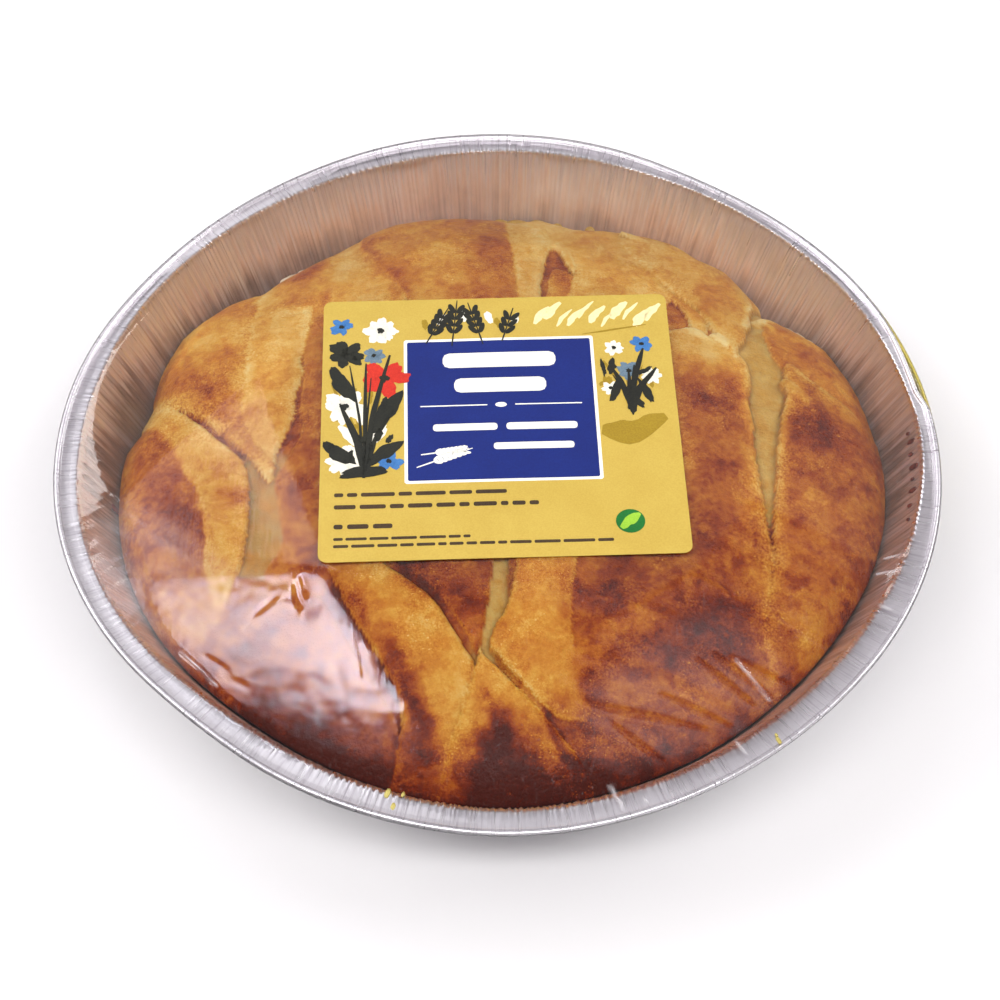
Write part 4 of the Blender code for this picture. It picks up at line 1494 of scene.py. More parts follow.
# Each fold or ridge: where it starts, where it ends, and its depth or its width.
TIGHT_FOLDS = (
    ((17, -71), (43, -76.5), 1.0), ((34, -69), (48, -75.5), 1.2), ((42, -61), (53, -70.5), 0.9),
    ((45.5, -59.5), (57, -68.5), 0.7), ((49, -60), (61, -66), 1.3), ((24, -76), (34, -84), 0.7),
    ((60, -50), (72, -58), 0.5), ((-42.6, -43), (-41.4, -49), 0.4), ((-41.2, -41.5), (-40.2, -46), 0.4),
    ((-51, -50), (-46, -45), 0.16), ((-58, -61), (-55.4, -63.6), 0.14), ((-61, -59), (-58, -61.6), 0.14),
    ((-54, -65), (-51.6, -67), 0.14), ((-57, -63.5), (-54, -66), 0.12), ((-28.5, -58), (-26.8, -66), 0.10),
    ((-33, -62), (-31.8, -68), 0.08),
)
WHITE_RIDGES = (
    ((50, -60.5), (52, -63.5), 0.22), ((52, -63.5), (56.5, -69.5), 0.25), ((23, -89.5), (26, -95), 0.35),
    ((49, -79), (52, -83), 0.25), ((81, -45), (86, -47), 0.14), ((82, -38), (87.5, -36), 0.16),
    ((84, -34), (89.5, -31.5), 0.14), ((29, -90.5), (30.5, -93), 0.2), ((-66, -58), (-58, -66), 0.2),
)
# Outlines of the painted glare on the film, at the right and at the left.
RIGHT_PAINTED_GLARE = (
    (16, -72), (24, -62), (38, -52), (50, -50), (60, -58), (61, -67), (50, -78), (34, -85), (20, -84),
)
LEFT_PAINTED_GLARE = (
    (-90, -24), (-82, -20), (-70, -26), (-58, -38), (-44, -44), (-46, -62), (-60, -61), (-70, -59),
    (-79, -54), (-88, -46), (-92, -34),
)
TORN_EDGE = ((-50, -41), (-18, -72))


def from_stroke(x, y, start, end):
    """Distance from a straight stroke, and how far along it from 0 to 1."""
    ax, ay = start
    ex, ey = end[0] - ax, end[1] - ay
    t = np.clip(((x - ax) * ex + (y - ay) * ey) / (ex * ex + ey * ey), 0, 1)
    return np.hypot(x - ax - t * ex, y - ay - t * ey), t


def veils(x, y):
    """Painted glare as a pale white on the film: faint and blotchy at the right, streaked at the left."""
    right = 0.10 * fade(depth_inside(x, y, smooth_loop(RIGHT_PAINTED_GLARE)), -2, 5)
    right = right * (0.7 + 0.4 * mottle(x * 0.5 + y, y * 0.3, 0, 3.4, 131))
    streaked = 1 + 0.5 * mottle(0.6 * x + 0.8 * y, 0.08 * (y - x), 2, 1.1, 132)
    return right + 0.24 * streaked * fade(depth_inside(x, y, smooth_loop(LEFT_PAINTED_GLARE)), -4, 6)


def waves(x, y, radius, r, calm):
    """Small waves of the film: broad ones all round, finer ones where it is wrinkled or torn."""
    turn = np.arctan2(y, x)
    z = 0.035 * calm * bump_sum(x, y, 0, 22, 120, 2) * fade(r, 50, 60)
    torn, _ = from_stroke(x, y, *TORN_EDGE)
    z = z + 0.02 * np.exp(-((torn / 3.5) ** 2)) * bump_sum(x, y, 2, 3.2, 127, 2)
    left_rim = fade(radius, 84, 90) * fade(-x, 60, 80)
    z = z + 0.03 * left_rim * mottle(62 * np.cos(turn), 62 * np.sin(turn), 0.02 * r, 0.9, 128)
    folded = fade(r, 54, 62) * fade(x, -12, 14)
    return z + 0.05 * folded * mottle(x * 0.5 + y, y * 0.3, 0, 3.4, 130)


print(len(TIGHT_FOLDS), "folds,", len(WHITE_RIDGES), "ridges and 2 veils")

# %% Height and haze of the film over the pastry


def film_over_pastry(x, y, radius):
    """Height of the film inside the flange, in millimetres, and how white it is from folds, ridges and
    painted glare, from 0 to 1.
    """
    r, calm = np.hypot(x, y), 1 - 0.75 * fade(-x, 4, 20) * fade(-y, 20, 34)
    ragged = 0.10 * fade(-x, 10, 30) * fade(-y, 20, 34)
    x, y = x + ragged * bump_sum(x, y, 0, 9, 125, 4), y + ragged * bump_sum(x, y, 5, 9, 126, 4)
    z = panel_heights(x, y, radius) + waves(x, y, radius, r, calm)
    painted_glare = veils(x, y)
    for start, end, depth in TIGHT_FOLDS:
        away, t = from_stroke(x, y, start, end)
        width = 1.25 * (0.35 + 0.65 * np.sin(math.pi * np.clip(0.12 + 0.8 * t, 0, 1)))
        z = z - 0.19 * depth * width * np.clip(1 - away / width, 0, 1)
        # The tight folds cut windows into the painted glare.
        painted_glare = painted_glare * fade(away / width, 0.75, 1.05)
    milk_and_painted_glare = np.maximum(painted_glare, 0)
    for start, end, width in WHITE_RIDGES:
        away, t = from_stroke(x, y, start, end)
        z = z + 0.35 * np.exp(-((away / (width * 1.3)) ** 2))
        milk_and_painted_glare = np.maximum(milk_and_painted_glare, np.exp(-((away / width) ** 2)))
    return z, milk_and_painted_glare


# %% [markdown]
# Past the flange the film turns over the bead, hangs close to the wall in small puckers and is drawn
# in under the base, where it ends in an open ring.

# %% The film outside the flange

FILM_ROLL = 0.78
BASE_RADII = (72, 66, 61, 58.4)


def film_rows():
    """(radius, height) in millimetres for the film outside the flange: bead, side, corner, base."""
    rows = []
    for turn in np.radians((150, 120, 90, 60, 30, 0, -20)):
        rows.append((BEAD_R / MM + FILM_ROLL * math.cos(turn), BEAD_Z / MM + FILM_ROLL * math.sin(turn)))
    top, foot = np.array(rows[-1]), np.array((CORNER_R / MM + 3.5, FLOOR_Z / MM + 1.6))
    rows += [tuple(top + (foot - top) * share) for share in np.linspace(0.06, 1.0, 14)]
    rows.append((CORNER_R / MM + 1.5, film_low.z / MM + 0.15))
    for radius in (CORNER_R / MM - 1, *BASE_RADII):
        rows.append((radius, film_low.z / MM + 0.12))
    return rows


def outer_ring(radius, height, angle):
    """One ring of the film outside the flange, with its puckers, and how whitened they are."""
    low = height < 0.6
    pulled = 0.10 * np.sin(angle * 97 + 3 * np.sin(angle * 5))
    creased = 0.14 * mottle(40 * np.cos(angle), 40 * np.sin(angle), height * 0.06, 1.4, 150)
    puckers = pulled + creased
    loose = fade(height, 31.5, 27) * fade(height, 0.5, 4) + 1.6 * low
    bulged = radius + rim_shift(radius, angle) + puckers * loose * (0.6 if low else 1)
    return polar(bulged, angle, height), 0.35 * fade(np.abs(puckers), 0.05, 0.2) * (height < 28)


print(len(film_rows()), "rows down the outside")

# %% Build the film

SECTORS = 960
CALM_SECTORS = 240
CALM_RADIUS = 52
FILM_CELL = 0.62


def build_film(material):
    """The whole wrap as one open sheet, finest where it shows its creases."""
    angle = circle(SECTORS)
    radii = [*np.arange(4, CALM_RADIUS, 4.0), *np.arange(CALM_RADIUS, FLANGE_START, FILM_CELL)]
    points, milk_and_painted_glare = [], []
    for radius in radii + [FLANGE_START, 96.4, 97.2]:
        a = angle[:: SECTORS // CALM_SECTORS] if radius < CALM_RADIUS else angle
        bulged = radius + rim_shift(radius, a)
        x, y = bulged * np.cos(a), bulged * np.sin(a)
        z, milk_and_glare = film_over_pastry(x, y, radius)
        if radius >= FLANGE_START:
            milk_and_glare = milk_and_glare * (milk_and_glare > 0.5)
            z = FLANGE_FILM + 0.02 * mottle(x, y, 1, 3.0, 140) + 0.25 * milk_and_glare
        points.append(np.stack([x, y, z], 1))
        milk_and_painted_glare.append(milk_and_glare)
    for radius, height in film_rows():
        ring, milk_and_glare = outer_ring(radius, height, angle)
        points.append(ring)
        milk_and_painted_glare.append(milk_and_glare)
    rings = numbered(points)
    faces = fan(rings[0], rings[-1][-1] + 1) + laced(rings)
    points.append(np.array([[0, 0, FILM_CROWN]]))
    milk_and_painted_glare.append([0.0])
    film = piece("clear_film", np.concatenate(points) * MM, faces, material, ["film"])
    store(film, "milk_and_painted_glare", np.concatenate(milk_and_painted_glare))
    return film


# %% [markdown]
# Clear film lets nearly all light through and mirrors about a twelfth of it, more at a glancing angle.
# A Principled shader with transmission would bend the light as a solid block of glass does, so the
# film is a mix of a see-through shader and a glossy one, with Fresnel to share them out. Fine scratches
# come from a noise stretched in one direction. A little pale diffuse white lies on folds and wipe
# marks, and the same white paints the glare of the two veils.

# %% Film finish

# The last colour is the white of folds and ridges and of the painted glare.
CLEAR, MIRROR_TINT, MILKY_GLARE_WHITE = (0.985, 0.985, 0.985, 1.0), (1.0, 0.99, 1.0, 1.0), (0.86, 0.83, 0.85, 1.0)
SCRATCH_TURN = math.radians(38)
SCRATCH_STRETCH = 0.06


def shared(tree, share, first, second):
    """Two shaders mixed by a share."""
    made = add(tree, "ShaderNodeMixShader")
    for socket, value in zip(made.inputs, (share, first.outputs[0], second.outputs[0])):
        tree.links.new(value, socket)
    return made


def film_finish():
    """Stretched clear film."""
    material, tree, principled = begin("stretched_film")
    tree.nodes.remove(principled)
    out = tree.nodes["Material Output"]
    clear = add(tree, "ShaderNodeBsdfTransparent", Color=CLEAR)
    mirror = add(tree, "ShaderNodeBsdfAnisotropic", Color=MIRROR_TINT, Roughness=0.07)
    milk_and_glare_shader = add(tree, "ShaderNodeBsdfDiffuse", Color=MILKY_GLARE_WHITE, Roughness=0.5)
    place = add(tree, "ShaderNodeTexCoord").outputs["Object"]
    stretch = (1.0, SCRATCH_STRETCH, 1.0)
    slanted = add(tree, "ShaderNodeMapping", Rotation=(0, 0, SCRATCH_TURN), Scale=stretch)
    tree.links.new(place, slanted.inputs["Vector"])
    scratches = noise(tree, 0.9 * MM, 2.0, vector=slanted.outputs["Vector"])
    ripples = noise(tree, 9 * MM, 2.0)
    specks = noise(tree, 1.1 * MM, 2.0)
    relief(tree, mirror, ((scratches, 0.010 * MM), (ripples, 0.05 * MM)))
    fresnel = add(tree, "ShaderNodeFresnel", IOR=1.5)
    mirrored = maths(tree, "MULTIPLY", fresnel.outputs[0], 0.95, clamp=True)
    glossy = shared(tree, mirrored, clear, mirror)
    wiped = span(tree, scratches, 0.62, 0.78, 0.0, 0.02)
    dusty = span(tree, specks, 0.66, 0.78, 0.0, 0.05)
    # White of the folds and ridges, and the painted glare of the veils.
    folds = maths(tree, "MULTIPLY", stored(tree, "milk_and_painted_glare"), 0.38)
    milk_and_painted_glare = total(tree, folds, maths(tree, "ADD", wiped, dusty), 0.004, clamp=True)
    tree.links.new(shared(tree, milk_and_painted_glare, glossy, milk_and_glare_shader).outputs[0], out.inputs["Surface"])
    return material


build_film(film_finish())

# %% [markdown]
# Greasy fingers have touched the wrap at the rim, at the front and at the front right. The smears are
# flat domes that lie on the film over the flange, and one pair sits higher, on the bead.

# %% Grease on the rim

# Direction in degrees, distance from the middle, radius, and how much longer than wide.
SMEAR_SPOTS = (
    (256.5, 95.5, 0.55, 2.2), (257.6, 96.8, 0.5, 1.6), (258.4, 94.9, 0.4, 1.5),
    (306, 98.0, 0.5, 1.8), (306.6, 97.0, 0.35, 1.4),
)
BEAD_LIFT = 1.15

smears = []
for turn, radius, size, longer in SMEAR_SPOTS:
    a = math.radians(turn)
    r = radius + float(rim_shift(radius, np.array(a)))
    level = FLANGE_FILM + 0.10 + (BEAD_LIFT if radius > 97.9 else 0.0)
    smears.append((r * math.cos(a), r * math.sin(a), level, size, 0.16, longer, turn, (0, 0, 1)))
old_grease = drop_finish("old_grease", tint(186, 172, 96), tint(164, 146, 74), 0.45)
drops("grease_smears", smears, old_grease)

# %% [markdown]
# ## The top label
#
# The label is a rectangle of satin paper with round corners, stuck on the film and turned by about two
# degrees. It follows the film's faint waves. Its sheet is made of nested rounded rectangles, laced
# like the rings above.

# %% Paper of the top label

LABEL_TURN = 1.9
LABEL_HALF = (40.25, 37.5)
LABEL_CORNER = 2.0
LABEL_MIDDLE = ((label_low.x + label_high.x) / 2 / MM, (label_low.y + label_high.y) / 2 / MM)
LABEL_SHEET = 0.14
PAPER_CELL = 1.6
INK_LAYER = 0.014
INK_FOOT = 0.02


def rounded_rectangle(half_w, half_h, corner, steps=5):
    """Corner points of a rectangle with round corners, anticlockwise."""
    loop = []
    for sx, sy, start in ((1, 1, 0), (-1, 1, 90), (-1, -1, 180), (1, -1, 270)):
        cx, cy = sx * (half_w - corner), sy * (half_h - corner)
        for a in np.radians(np.linspace(start, start + 90, steps)):
            loop.append((cx + corner * math.cos(a), cy + corner * math.sin(a)))
    return loop


def even_loop(loop, spacing):
    """The same closed loop with points at most `spacing` apart."""
    out = []
    for (ax, ay), (bx, by) in zip(loop, loop[1:] + loop[:1]):
        parts = max(1, math.ceil(math.hypot(bx - ax, by - ay) / spacing))
        out += [(ax + (bx - ax) * k / parts, ay + (by - ay) * k / parts) for k in range(parts)]
    return out


def on_label(x, y, lift):
    """A point of the label's own plane, in millimetres, put on the waving film."""
    along, across = turned(x, y, LABEL_TURN)
    px, py = LABEL_MIDDLE[0] + along, LABEL_MIDDLE[1] + across
    wave = 0.10 + 0.10 * bump_sum(px, py, 5, 24, 160, 2)
    return np.stack([px, py, FILM_TOP / MM + 0.05 + wave + lift], -1)


def build_label(material):
    """The sheet of paper with its cut edge and its underside."""
    edge = np.array(even_loop(rounded_rectangle(*LABEL_HALF, LABEL_CORNER), PAPER_CELL))
    shares = np.linspace(0.04, 1.0, 26)
    points = []
    for lift in (LABEL_SHEET, 0.0):
        points += [on_label(edge[:, 0] * share, edge[:, 1] * share, lift) for share in shares]
    rings = numbered(points)
    top, bottom = rings[: len(shares)], rings[len(shares):]
    tip = rings[-1][-1] + 1
    faces = fan(top[0], tip) + laced(top) + lace(top[-1], bottom[-1])
    faces += flipped(laced(bottom)) + fan(bottom[0], tip + 1, upward=False)
    points += [on_label(np.zeros(1), np.zeros(1), lift) for lift in (LABEL_SHEET, 0.0)]
    paper = piece("label_paper", np.concatenate(points) * MM, faces, material, ["top_label"])
    paper.data.set_sharp_from_angle(angle=math.radians(40))
    return paper


# %% [markdown]
# Paper and dry ink look alike from near: fine fibres, faint clouds of colour and a satin gloss. One
# function makes them all from two close shades.

# %% Paper and ink finishes


def paper_finish(name, colour, deep, roughness=0.42):
    """Coated paper: fine fibres and clouds in its colour, and a satin gloss."""
    material, tree, shader = begin(name, Specular_IOR_Level=0.4)
    fibres, clouds = noise(tree, 0.35 * MM, 3.0), noise(tree, 9 * MM, 3.0)
    share = total(tree, span(tree, fibres, 0.25, 0.75, 0.0, 0.65), span(tree, clouds, 0.3, 0.7, 0.0, 0.35))
    tree.links.new(blend_colour(tree, share, colour, deep), shader.inputs["Base Color"])
    satin = span(tree, fibres, 0.2, 0.8, roughness - 0.06, roughness + 0.08)
    tree.links.new(satin, shader.inputs["Roughness"])
    relief(tree, shader, ((fibres, 0.012 * MM),))
    return material


YELLOW = paper_finish("label_yellow", tint(192, 164, 76), tint(180, 150, 64))
build_label(YELLOW)

# %% [markdown]
# ## The print
#
# The print is fields of colour and simple shapes: a deep blue panel with a white frame, rows of bars
# where words would stand, and a border of meadow flowers, leaves and ears of wheat in loose brush
# strokes. Each colour is one mesh of thin patches that lie a hair above the paper, as thick ink does.

# %% Patches of ink


def fill(loop, spacing=PAPER_CELL):
    """Triangles that fill an outline, with points inside it so that they can follow the paper."""
    edge = np.array(even_loop([tuple(map(float, p)) for p in loop], spacing))
    low, high = edge.min(0), edge.max(0)
    gx, gy = np.meshgrid(np.arange(low[0], high[0], spacing), np.arange(low[1], high[1], spacing))
    inner = depth_inside(gx.ravel(), gy.ravel(), edge) > 0.45 * spacing
    spots = np.concatenate([edge, np.column_stack([gx.ravel()[inner], gy.ravel()[inner]])])
    rim = [(i, (i + 1) % len(edge)) for i in range(len(edge))]
    made = delaunay_2d_cdt([Vector(p) for p in spots.tolist()], rim, [], 1, 1e-5)
    corners = np.array([tuple(v) for v in made[0]])
    faces = []
    for a, b, c in made[2]:
        (ax, ay), (bx, by), (cx, cy) = corners[a], corners[b], corners[c]
        faces.append((a, b, c) if (bx - ax) * (cy - ay) > (cx - ax) * (by - ay) else (a, c, b))
    return corners, faces


def open_edges(faces):
    """Edges that belong to one face only, in that face's direction."""
    edges = {(f[k], f[(k + 1) % len(f)]) for f in faces for k in range(len(f))}
    return [(a, b) for a, b in edges if (b, a) not in edges]


def ink(name, loops, material, layer=1):
    """One colour of the print: patches with a thin edge, joined in one mesh."""
    points, faces, count = [], [], 0
    for loop in loops:
        corners, top = fill(loop)
        n = len(corners)
        for lift in (LABEL_SHEET + INK_LAYER * layer, LABEL_SHEET - INK_FOOT):
            points.append(on_label(corners[:, 0], corners[:, 1], lift))
        faces += [tuple(count + v for v in f) for f in top]
        faces += [tuple(count + n + v for v in f) for f in flipped(top)]
        faces += [(count + b, count + a, count + n + a, count + n + b) for a, b in open_edges(top)]
        count += 2 * n
    return piece(name, np.concatenate(points) * MM, faces, material, flat=True)


print("ink layers", INK_LAYER, "mm apart")

# %% Bars, spots and brush strokes

SPOT_POINTS = 28
STROKE_STEPS = 14


def bar(x, y, length, height):
    """A bar with round ends, which stands for a printed word."""
    loop = rounded_rectangle(length / 2, height / 2, height * 0.35, 3)
    return [(x + length / 2 + px, y + py) for px, py in loop]


def words(x, y, end, height, seed, longest=7.0):
    """A row of bars as long as words, from x to end."""
    dice, row = np.random.default_rng(seed), []
    while x < end - 1.0:
        length = min(dice.uniform(0.25, 1.0) * longest, end - x)
        row.append(bar(x, y, length, height))
        x += length + height * 0.75
    return row


def blot(x, y, rx, ry, turn, seed, rough=0.12):
    """A brushed spot with an uneven edge."""
    a = circle(SPOT_POINTS)
    swell = 1 + rough * bump_sum(2 * np.cos(a), 2 * np.sin(a), seed * 3.7, 1.0, 200)
    px, py = turned(rx * swell * np.cos(a), ry * swell * np.sin(a), turn)
    return list(zip(x + px, y + py))


def stroke(path, width, seed, taper=1.0):
    """A brush stroke along a few points: fullest in its middle, with ragged sides."""
    p = np.array(path, float)
    t = np.linspace(0, len(p) - 1, STROKE_STEPS)
    x, y = np.interp(t, range(len(p)), p[:, 0]), np.interp(t, range(len(p)), p[:, 1])
    dx, dy = np.gradient(x), np.gradient(y)
    size = np.hypot(dx, dy) + 1e-9
    share = np.linspace(0, 1, STROKE_STEPS)
    half = width / 2 * (1 - taper + taper * np.sin(math.pi * (0.08 + 0.86 * share)) ** 0.7)
    one = half * (1 + 0.25 * mottle(share * 6, seed, 1, 1.0, 210))
    other = half * (1 + 0.25 * mottle(share * 6, seed, 7, 1.0, 220))
    left = list(zip(x - dy / size * one, y + dx / size * one))
    right = list(zip(x + dy / size * other, y - dx / size * other))
    return left + right[::-1]


print("a spot has", SPOT_POINTS, "points and a stroke", 2 * STROKE_STEPS)

# %% Blue panel, frame and its white marks

PANEL_MIDDLE = (0.4, 4.0)
PANEL_HALF = (21.2, 20.2)
FRAME = 0.75
# Each bar: its left end and its middle's height from the panel's middle, its length and its height.
PANEL_BARS = (
    (-13.0, 14.3, 26.0, 4.4), (-10.5, 6.8, 21.0, 4.2), (-18.3, 0.9, 15.2, 0.32), (3.2, 0.9, 15.2, 0.32),
    (-15.5, -5.4, 14.5, 2.0), (1.0, -5.4, 16.0, 2.0), (-2.0, -11.0, 18.0, 1.9),
)


def moved(loop, dx, dy):
    """The same outline somewhere else."""
    return [(x + dx, y + dy) for x, y in loop]


def wheat_ear(x, y, length, turn, grain=1.5):
    """An ear of wheat: pairs of grains along a stalk."""
    loops = []
    number = max(3, int(length / (grain * 0.85)))
    for k in range(number):
        along = length * (0.15 + 0.8 * k / number)
        for side in (-1, 1):
            gx, gy = turned(along, side * grain * 0.42, turn)
            spot = (x + gx, y + gy, grain * 0.62, grain * 0.26)
            loops.append(blot(*spot, turn + side * 28, 300 + k, 0.05))
    ends = [turned(share * length, 0, turn) for share in (-0.35, 1)]
    loops.append(stroke([(x + dx, y + dy) for dx, dy in ends], 0.35, 5, 0.5))
    return loops


px, py = PANEL_MIDDLE
blue_panel = [moved(rounded_rectangle(*PANEL_HALF, 0.3, 2), px, py)]
white_frame = [moved(rounded_rectangle(*(half + FRAME for half in PANEL_HALF), 0.4, 2), px, py)]
panel_white = [bar(px + dx, py + dy, length, height) for dx, dy, length, height in PANEL_BARS]
panel_white.append(blot(px, py + 0.9, 1.3, 0.7, 0, 3, 0.02))
panel_white += wheat_ear(px - 16.0, py - 15.2, 10.0, 22, 1.5) + wheat_ear(px - 15.5, py - 12.6, 8.0, 8, 1.3)

BLUE = paper_finish("ink_blue", tint(12, 38, 112), tint(8, 30, 98), 0.40)
WHITE = paper_finish("ink_white", tint(240, 238, 228), tint(226, 222, 208))
ink("print_white_frame", white_frame, WHITE, 1)
ink("print_blue_panel", blue_panel, BLUE, 2)
ink("print_panel_marks", panel_white, WHITE, 3)

# %% [markdown]
# Around the panel goes the painted border. Poppies, cornflowers and daisies are petals set round a
# dark middle; stalks and leaves are long strokes. The dice are seeded, so the bunch is always the same.

# %% Meadow flowers in brush strokes

dice = np.random.default_rng(42)
colours = {name: [] for name in ("black", "white", "red", "sky", "olive", "cream", "slate")}


def flower(x, y, size, petals, colour, seed):
    """Petals round a dark middle."""
    for k in range(petals):
        a = 2 * math.pi * (k + 0.3 * dice.uniform(-1, 1)) / petals
        reach = size * dice.uniform(0.45, 0.62)
        px, py = x + reach * math.cos(a), y + reach * math.sin(a)
        colours[colour].append(blot(px, py, size * 0.55, size * 0.34, math.degrees(a), seed + k, 0.2))
    colours["black"].append(blot(x, y, size * 0.22, size * 0.2, 0, seed + 40, 0.3))


def bunch(x, y, width, height, seed):
    """Stalks and leaves that spread upward from a tied foot."""
    for k in range(9):
        reach = (k - 4) / 4 * width / 2 + dice.uniform(-1, 1)
        tall = height * dice.uniform(0.55, 1.0)
        bend = (x + reach * 0.3, y + tall * 0.5)
        thick = dice.uniform(0.5, 1.5)
        stalk = stroke([(x, y), bend, (x + reach, y + tall)], thick, seed + k)
        colours["black" if k % 3 else "olive"].append(stalk)
    for k in range(10):
        reach, tall = dice.uniform(-0.5, 0.5) * width, height * dice.uniform(0.15, 0.8)
        rx, ry, turn = dice.uniform(1.2, 2.6), dice.uniform(0.5, 1.1), dice.uniform(20, 160)
        one = blot(x + reach, y + tall, rx, ry, turn, seed + 60 + k, 0.35)
        colours[("black", "olive", "black")[k % 3]].append(one)


# Each leaf: place x and y, two radii, a turn in degrees, and its colour.
BROAD_LEAVES = (
    (-35.5, 12, 5.6, 1.9, 118, "black"), (-25.5, 4, 6.2, 2.0, 62, "black"),
    (-36, -8, 4.6, 1.8, 140, "black"), (-26, -8, 4.8, 1.7, 40, "black"),
    (-31, -13.5, 5.4, 1.5, 8, "black"), (-31, 2.5, 3.2, 1.2, 96, "white"),
    (-33.5, -3.5, 3.6, 1.3, 130, "white"), (-27.5, -3, 3.4, 1.2, 55, "white"),
    (-37, 4, 2.6, 1.0, 100, "olive"), (26.5, 8, 3.4, 1.0, 70, "black"),
    (33.5, 8, 3.6, 1.0, 112, "black"), (30, 4.5, 3.0, 1.0, 90, "black"),
)
# Each flower: place x and y, size, number of petals, and its colour.
FLOWERS = (
    (-35, 21, 3.9, 7, "black"), (-27, 28, 3.6, 8, "white"), (-36, 29.5, 2.6, 6, "sky"),
    (-26, 13.5, 5.2, 6, "red"), (-35, 5.5, 4.6, 8, "white"), (-28.5, 20.5, 2.4, 7, "slate"),
    (-34.5, -10, 4.2, 8, "white"), (-25, -10.5, 3.0, 6, "sky"), (27, 21, 2.2, 7, "white"),
    (33.5, 22, 2.5, 6, "sky"), (30, 14, 2.6, 7, "slate"), (35, 12.5, 2.3, 7, "white"),
    (25.5, 9, 2.0, 6, "white"),
)
# Each ear of wheat: its foot x and y, its length, and the way it leans in degrees.
EARS = ((-15, 26.5, 9, 64), (-10, 26.5, 10.5, 84), (-4, 26.5, 10, 104), (2, 26.5, 8, 74))
CREAM_STROKES = 11

bunch(-30.5, -15, 16, 36, 400)
bunch(30.0, 2, 12, 19, 500)
for x, y, rx, ry, turn, colour in BROAD_LEAVES:
    colours[colour].append(blot(x, y, rx, ry, turn, int(60 + x), 0.25))
for x, y, size, petals, colour in FLOWERS:
    flower(x, y, size, petals, colour, int(600 + 10 * abs(x)))
for x, y, length, turn in EARS:
    colours["black"] += wheat_ear(x, y, length, turn, 2.5)
    colours["white"] += [blot(x + 2.4, y + length * 0.5, 1.9, 0.9, turn, int(700 + x), 0.3)]
    colours["olive"] += [blot(x - 1.6, y + 3.2, 1.6, 0.7, turn + 30, int(720 + x), 0.3)]
for k in range(CREAM_STROKES):
    x, y = 9 + 2.6 * k, 29 + 1.5 * math.sin(k * 1.9)
    path = [(x, y), (x + 1.2, y + 2.5), (x + 3.8, y + 5.2)]
    colours["cream"].append(stroke(path, dice.uniform(0.8, 2.4), 800 + k))
colours["olive"].append(stroke([(22.8, -3.2), (29, -4.2), (37.5, 0.4)], 6.5, 820))
colours["olive"].append(stroke([(20, 25.5), (27, 26.6), (35, 28)], 0.5, 830))
print(sum(len(loops) for loops in colours.values()), "brushed shapes")

# %% Print the border, one colour after another

INKS = (
    ("cream", tint(238, 224, 172), tint(230, 210, 150)), ("olive", tint(158, 130, 34), tint(136, 108, 22)),
    ("white", tint(240, 236, 222), tint(220, 212, 192)), ("slate", tint(112, 132, 146), tint(84, 104, 120)),
    ("sky", tint(70, 122, 178), tint(48, 98, 158)), ("red", tint(206, 52, 34), tint(176, 36, 26)),
    ("black", tint(40, 40, 30), tint(22, 24, 20)),
)
for layer, (name, light, dark) in enumerate(INKS):
    ink("print_" + name, colours[name], paper_finish("ink_" + name, light, dark), 1 + layer)

# %% Rows of bars and the green leaf mark

# Each row of bars: its height on the label, where it ends, how high the bars are and how long at most.
WORD_ROWS = (
    (-19.6, 2.5, 1.05, 8), (-22.9, 8.5, 1.15, 6), (-28.2, -24, 1.25, 5), (-31.5, -7, 0.75, 6),
    (-33.4, 23.5, 0.8, 7),
)
WORDS_START = -37

small_print = []
for number, (y, end, height, longest) in enumerate(WORD_ROWS):
    small_print += words(WORDS_START, y, end, height, 900 + number, longest)
ink("print_words", small_print, paper_finish("ink_words", tint(74, 56, 34), tint(48, 36, 24)), 1)
green_mark = [blot(27.4, -28.6, 3.2, 3.2, 0, 950, 0.0)]
leaf_mark = [stroke([(25.3, -30.4), (27.2, -28.4), (29.6, -26.6)], 2.4, 960)]
leaf_mark.append(blot(27.4, -28.6, 0.5, 0.5, 0, 961, 0.0))
ink("print_green_mark", green_mark, paper_finish("ink_green", tint(24, 110, 44), tint(16, 92, 36)), 1)
ink("print_leaf_mark", leaf_mark, paper_finish("ink_leaf", tint(152, 196, 60), tint(130, 178, 46)), 2)

# %% [markdown]
# ## The side label
#
# A second paper label is stuck to the film on the right, from the bead downward. Where the rim is
# dented the film bridges the dent, and a strip of the label shows past the rim from above. The paper
# and the print on it are curved patches, so one function makes them all.

# %% Side label

SIDE_ARC = (4.5, 27.0)
SIDE_PAPER = 0.12
PAPER_LIFT, PRINT_LIFT = 0.32, 0.36
LABEL_SHARE = 0.80
CURL_PART = 0.10


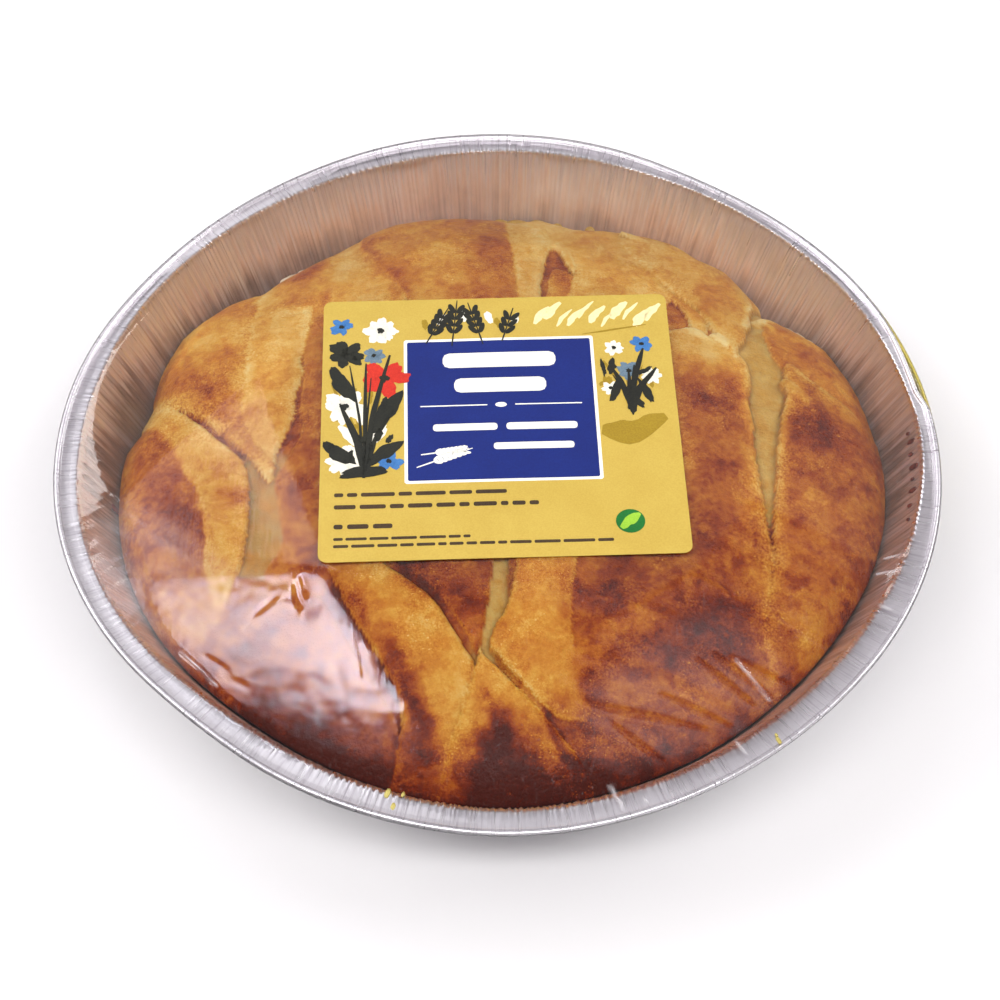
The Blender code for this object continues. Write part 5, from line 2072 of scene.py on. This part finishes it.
def side_point(turn_deg, down, lift):
    """A point on the film's side: `down` from 0 at the bead to 1 at the label's lower edge."""
    a = np.radians(turn_deg)
    rows = film_rows()
    top, foot = np.array(rows[6]), np.array(rows[20])
    along = np.clip(down, 0.04, 1) * LABEL_SHARE
    r = top[0] + (foot[0] - top[0]) * along + rim_shift(99.0, a) * (1 - along * 0.7) + lift
    z = top[1] + (foot[1] - top[1]) * along
    curl = np.clip(CURL_PART - down, 0, 1) / CURL_PART
    r, z = r - 0.25 * curl**2, z + 1.4 * curl
    wave = 0.18 * bump_sum(turn_deg * 0.2, down * 6, 2, 2.0, 170)
    return polar(r + wave, a, z)


def side_patch(name, turns, downs, lift, material, cells=(26, 22)):
    """A thin curved patch of the side label between two turns and two levels."""
    columns, rows = np.meshgrid(np.linspace(*turns, cells[0]), np.linspace(*downs, cells[1]))
    outer = side_point(columns, rows, lift).reshape(-1, 3)
    inner = side_point(columns, rows, lift - SIDE_PAPER).reshape(-1, 3)
    w, h = cells
    squares = [(i, j) for j in range(h - 1) for i in range(w - 1)]
    skin = [(j * w + i, (j + 1) * w + i, (j + 1) * w + i + 1, j * w + i + 1) for i, j in squares]
    faces = skin + [tuple(w * h + v for v in f) for f in flipped(skin)]
    rim = list(range(w)) + [(j + 1) * w - 1 for j in range(1, h)]
    rim += [(h - 1) * w + i for i in range(w - 2, -1, -1)] + [j * w for j in range(h - 2, 0, -1)]
    faces += [(a, b, w * h + b, w * h + a) for a, b in zip(rim, rim[1:] + rim[:1])]
    node = ["side_label"] if name == "side_label_paper" else ()
    return piece(name, np.concatenate([outer, inner]) * MM, faces, material, node)


side_yellow = paper_finish("side_yellow", tint(232, 214, 92), tint(214, 194, 70))
side_patch("side_label_paper", SIDE_ARC, (0.0, 1.0), PAPER_LIFT, side_yellow)
side_patch("side_label_panel", (9, 22.5), (0.14, 0.42), PRINT_LIFT, BLUE, (16, 8))

# %% Bars on the side label

BARS_START = 7
BAR_ENDS = (24, 20, 25, 17)
FIRST_BAR, BAR_STEP, BAR_HEIGHT = 0.52, 0.11, 0.035

for k, end in enumerate(BAR_ENDS):
    high = FIRST_BAR + BAR_STEP * k
    brown = paper_finish(f"ink_side_{k}", tint(84, 66, 36), tint(58, 44, 26))
    levels = (high, high + BAR_HEIGHT)
    side_patch(f"side_label_bar_{k}", (BARS_START, end), levels, PRINT_LIFT, brown, (16, 3))

# %% Compare the boxes and finish

visual_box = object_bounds()
for axis in range(3):
    apart = [(visual_box[side][axis] - cad_box[side][axis]) / MM for side in (0, 1)]
    print("xyz"[axis], [round(value, 2) for value in apart], "mm")
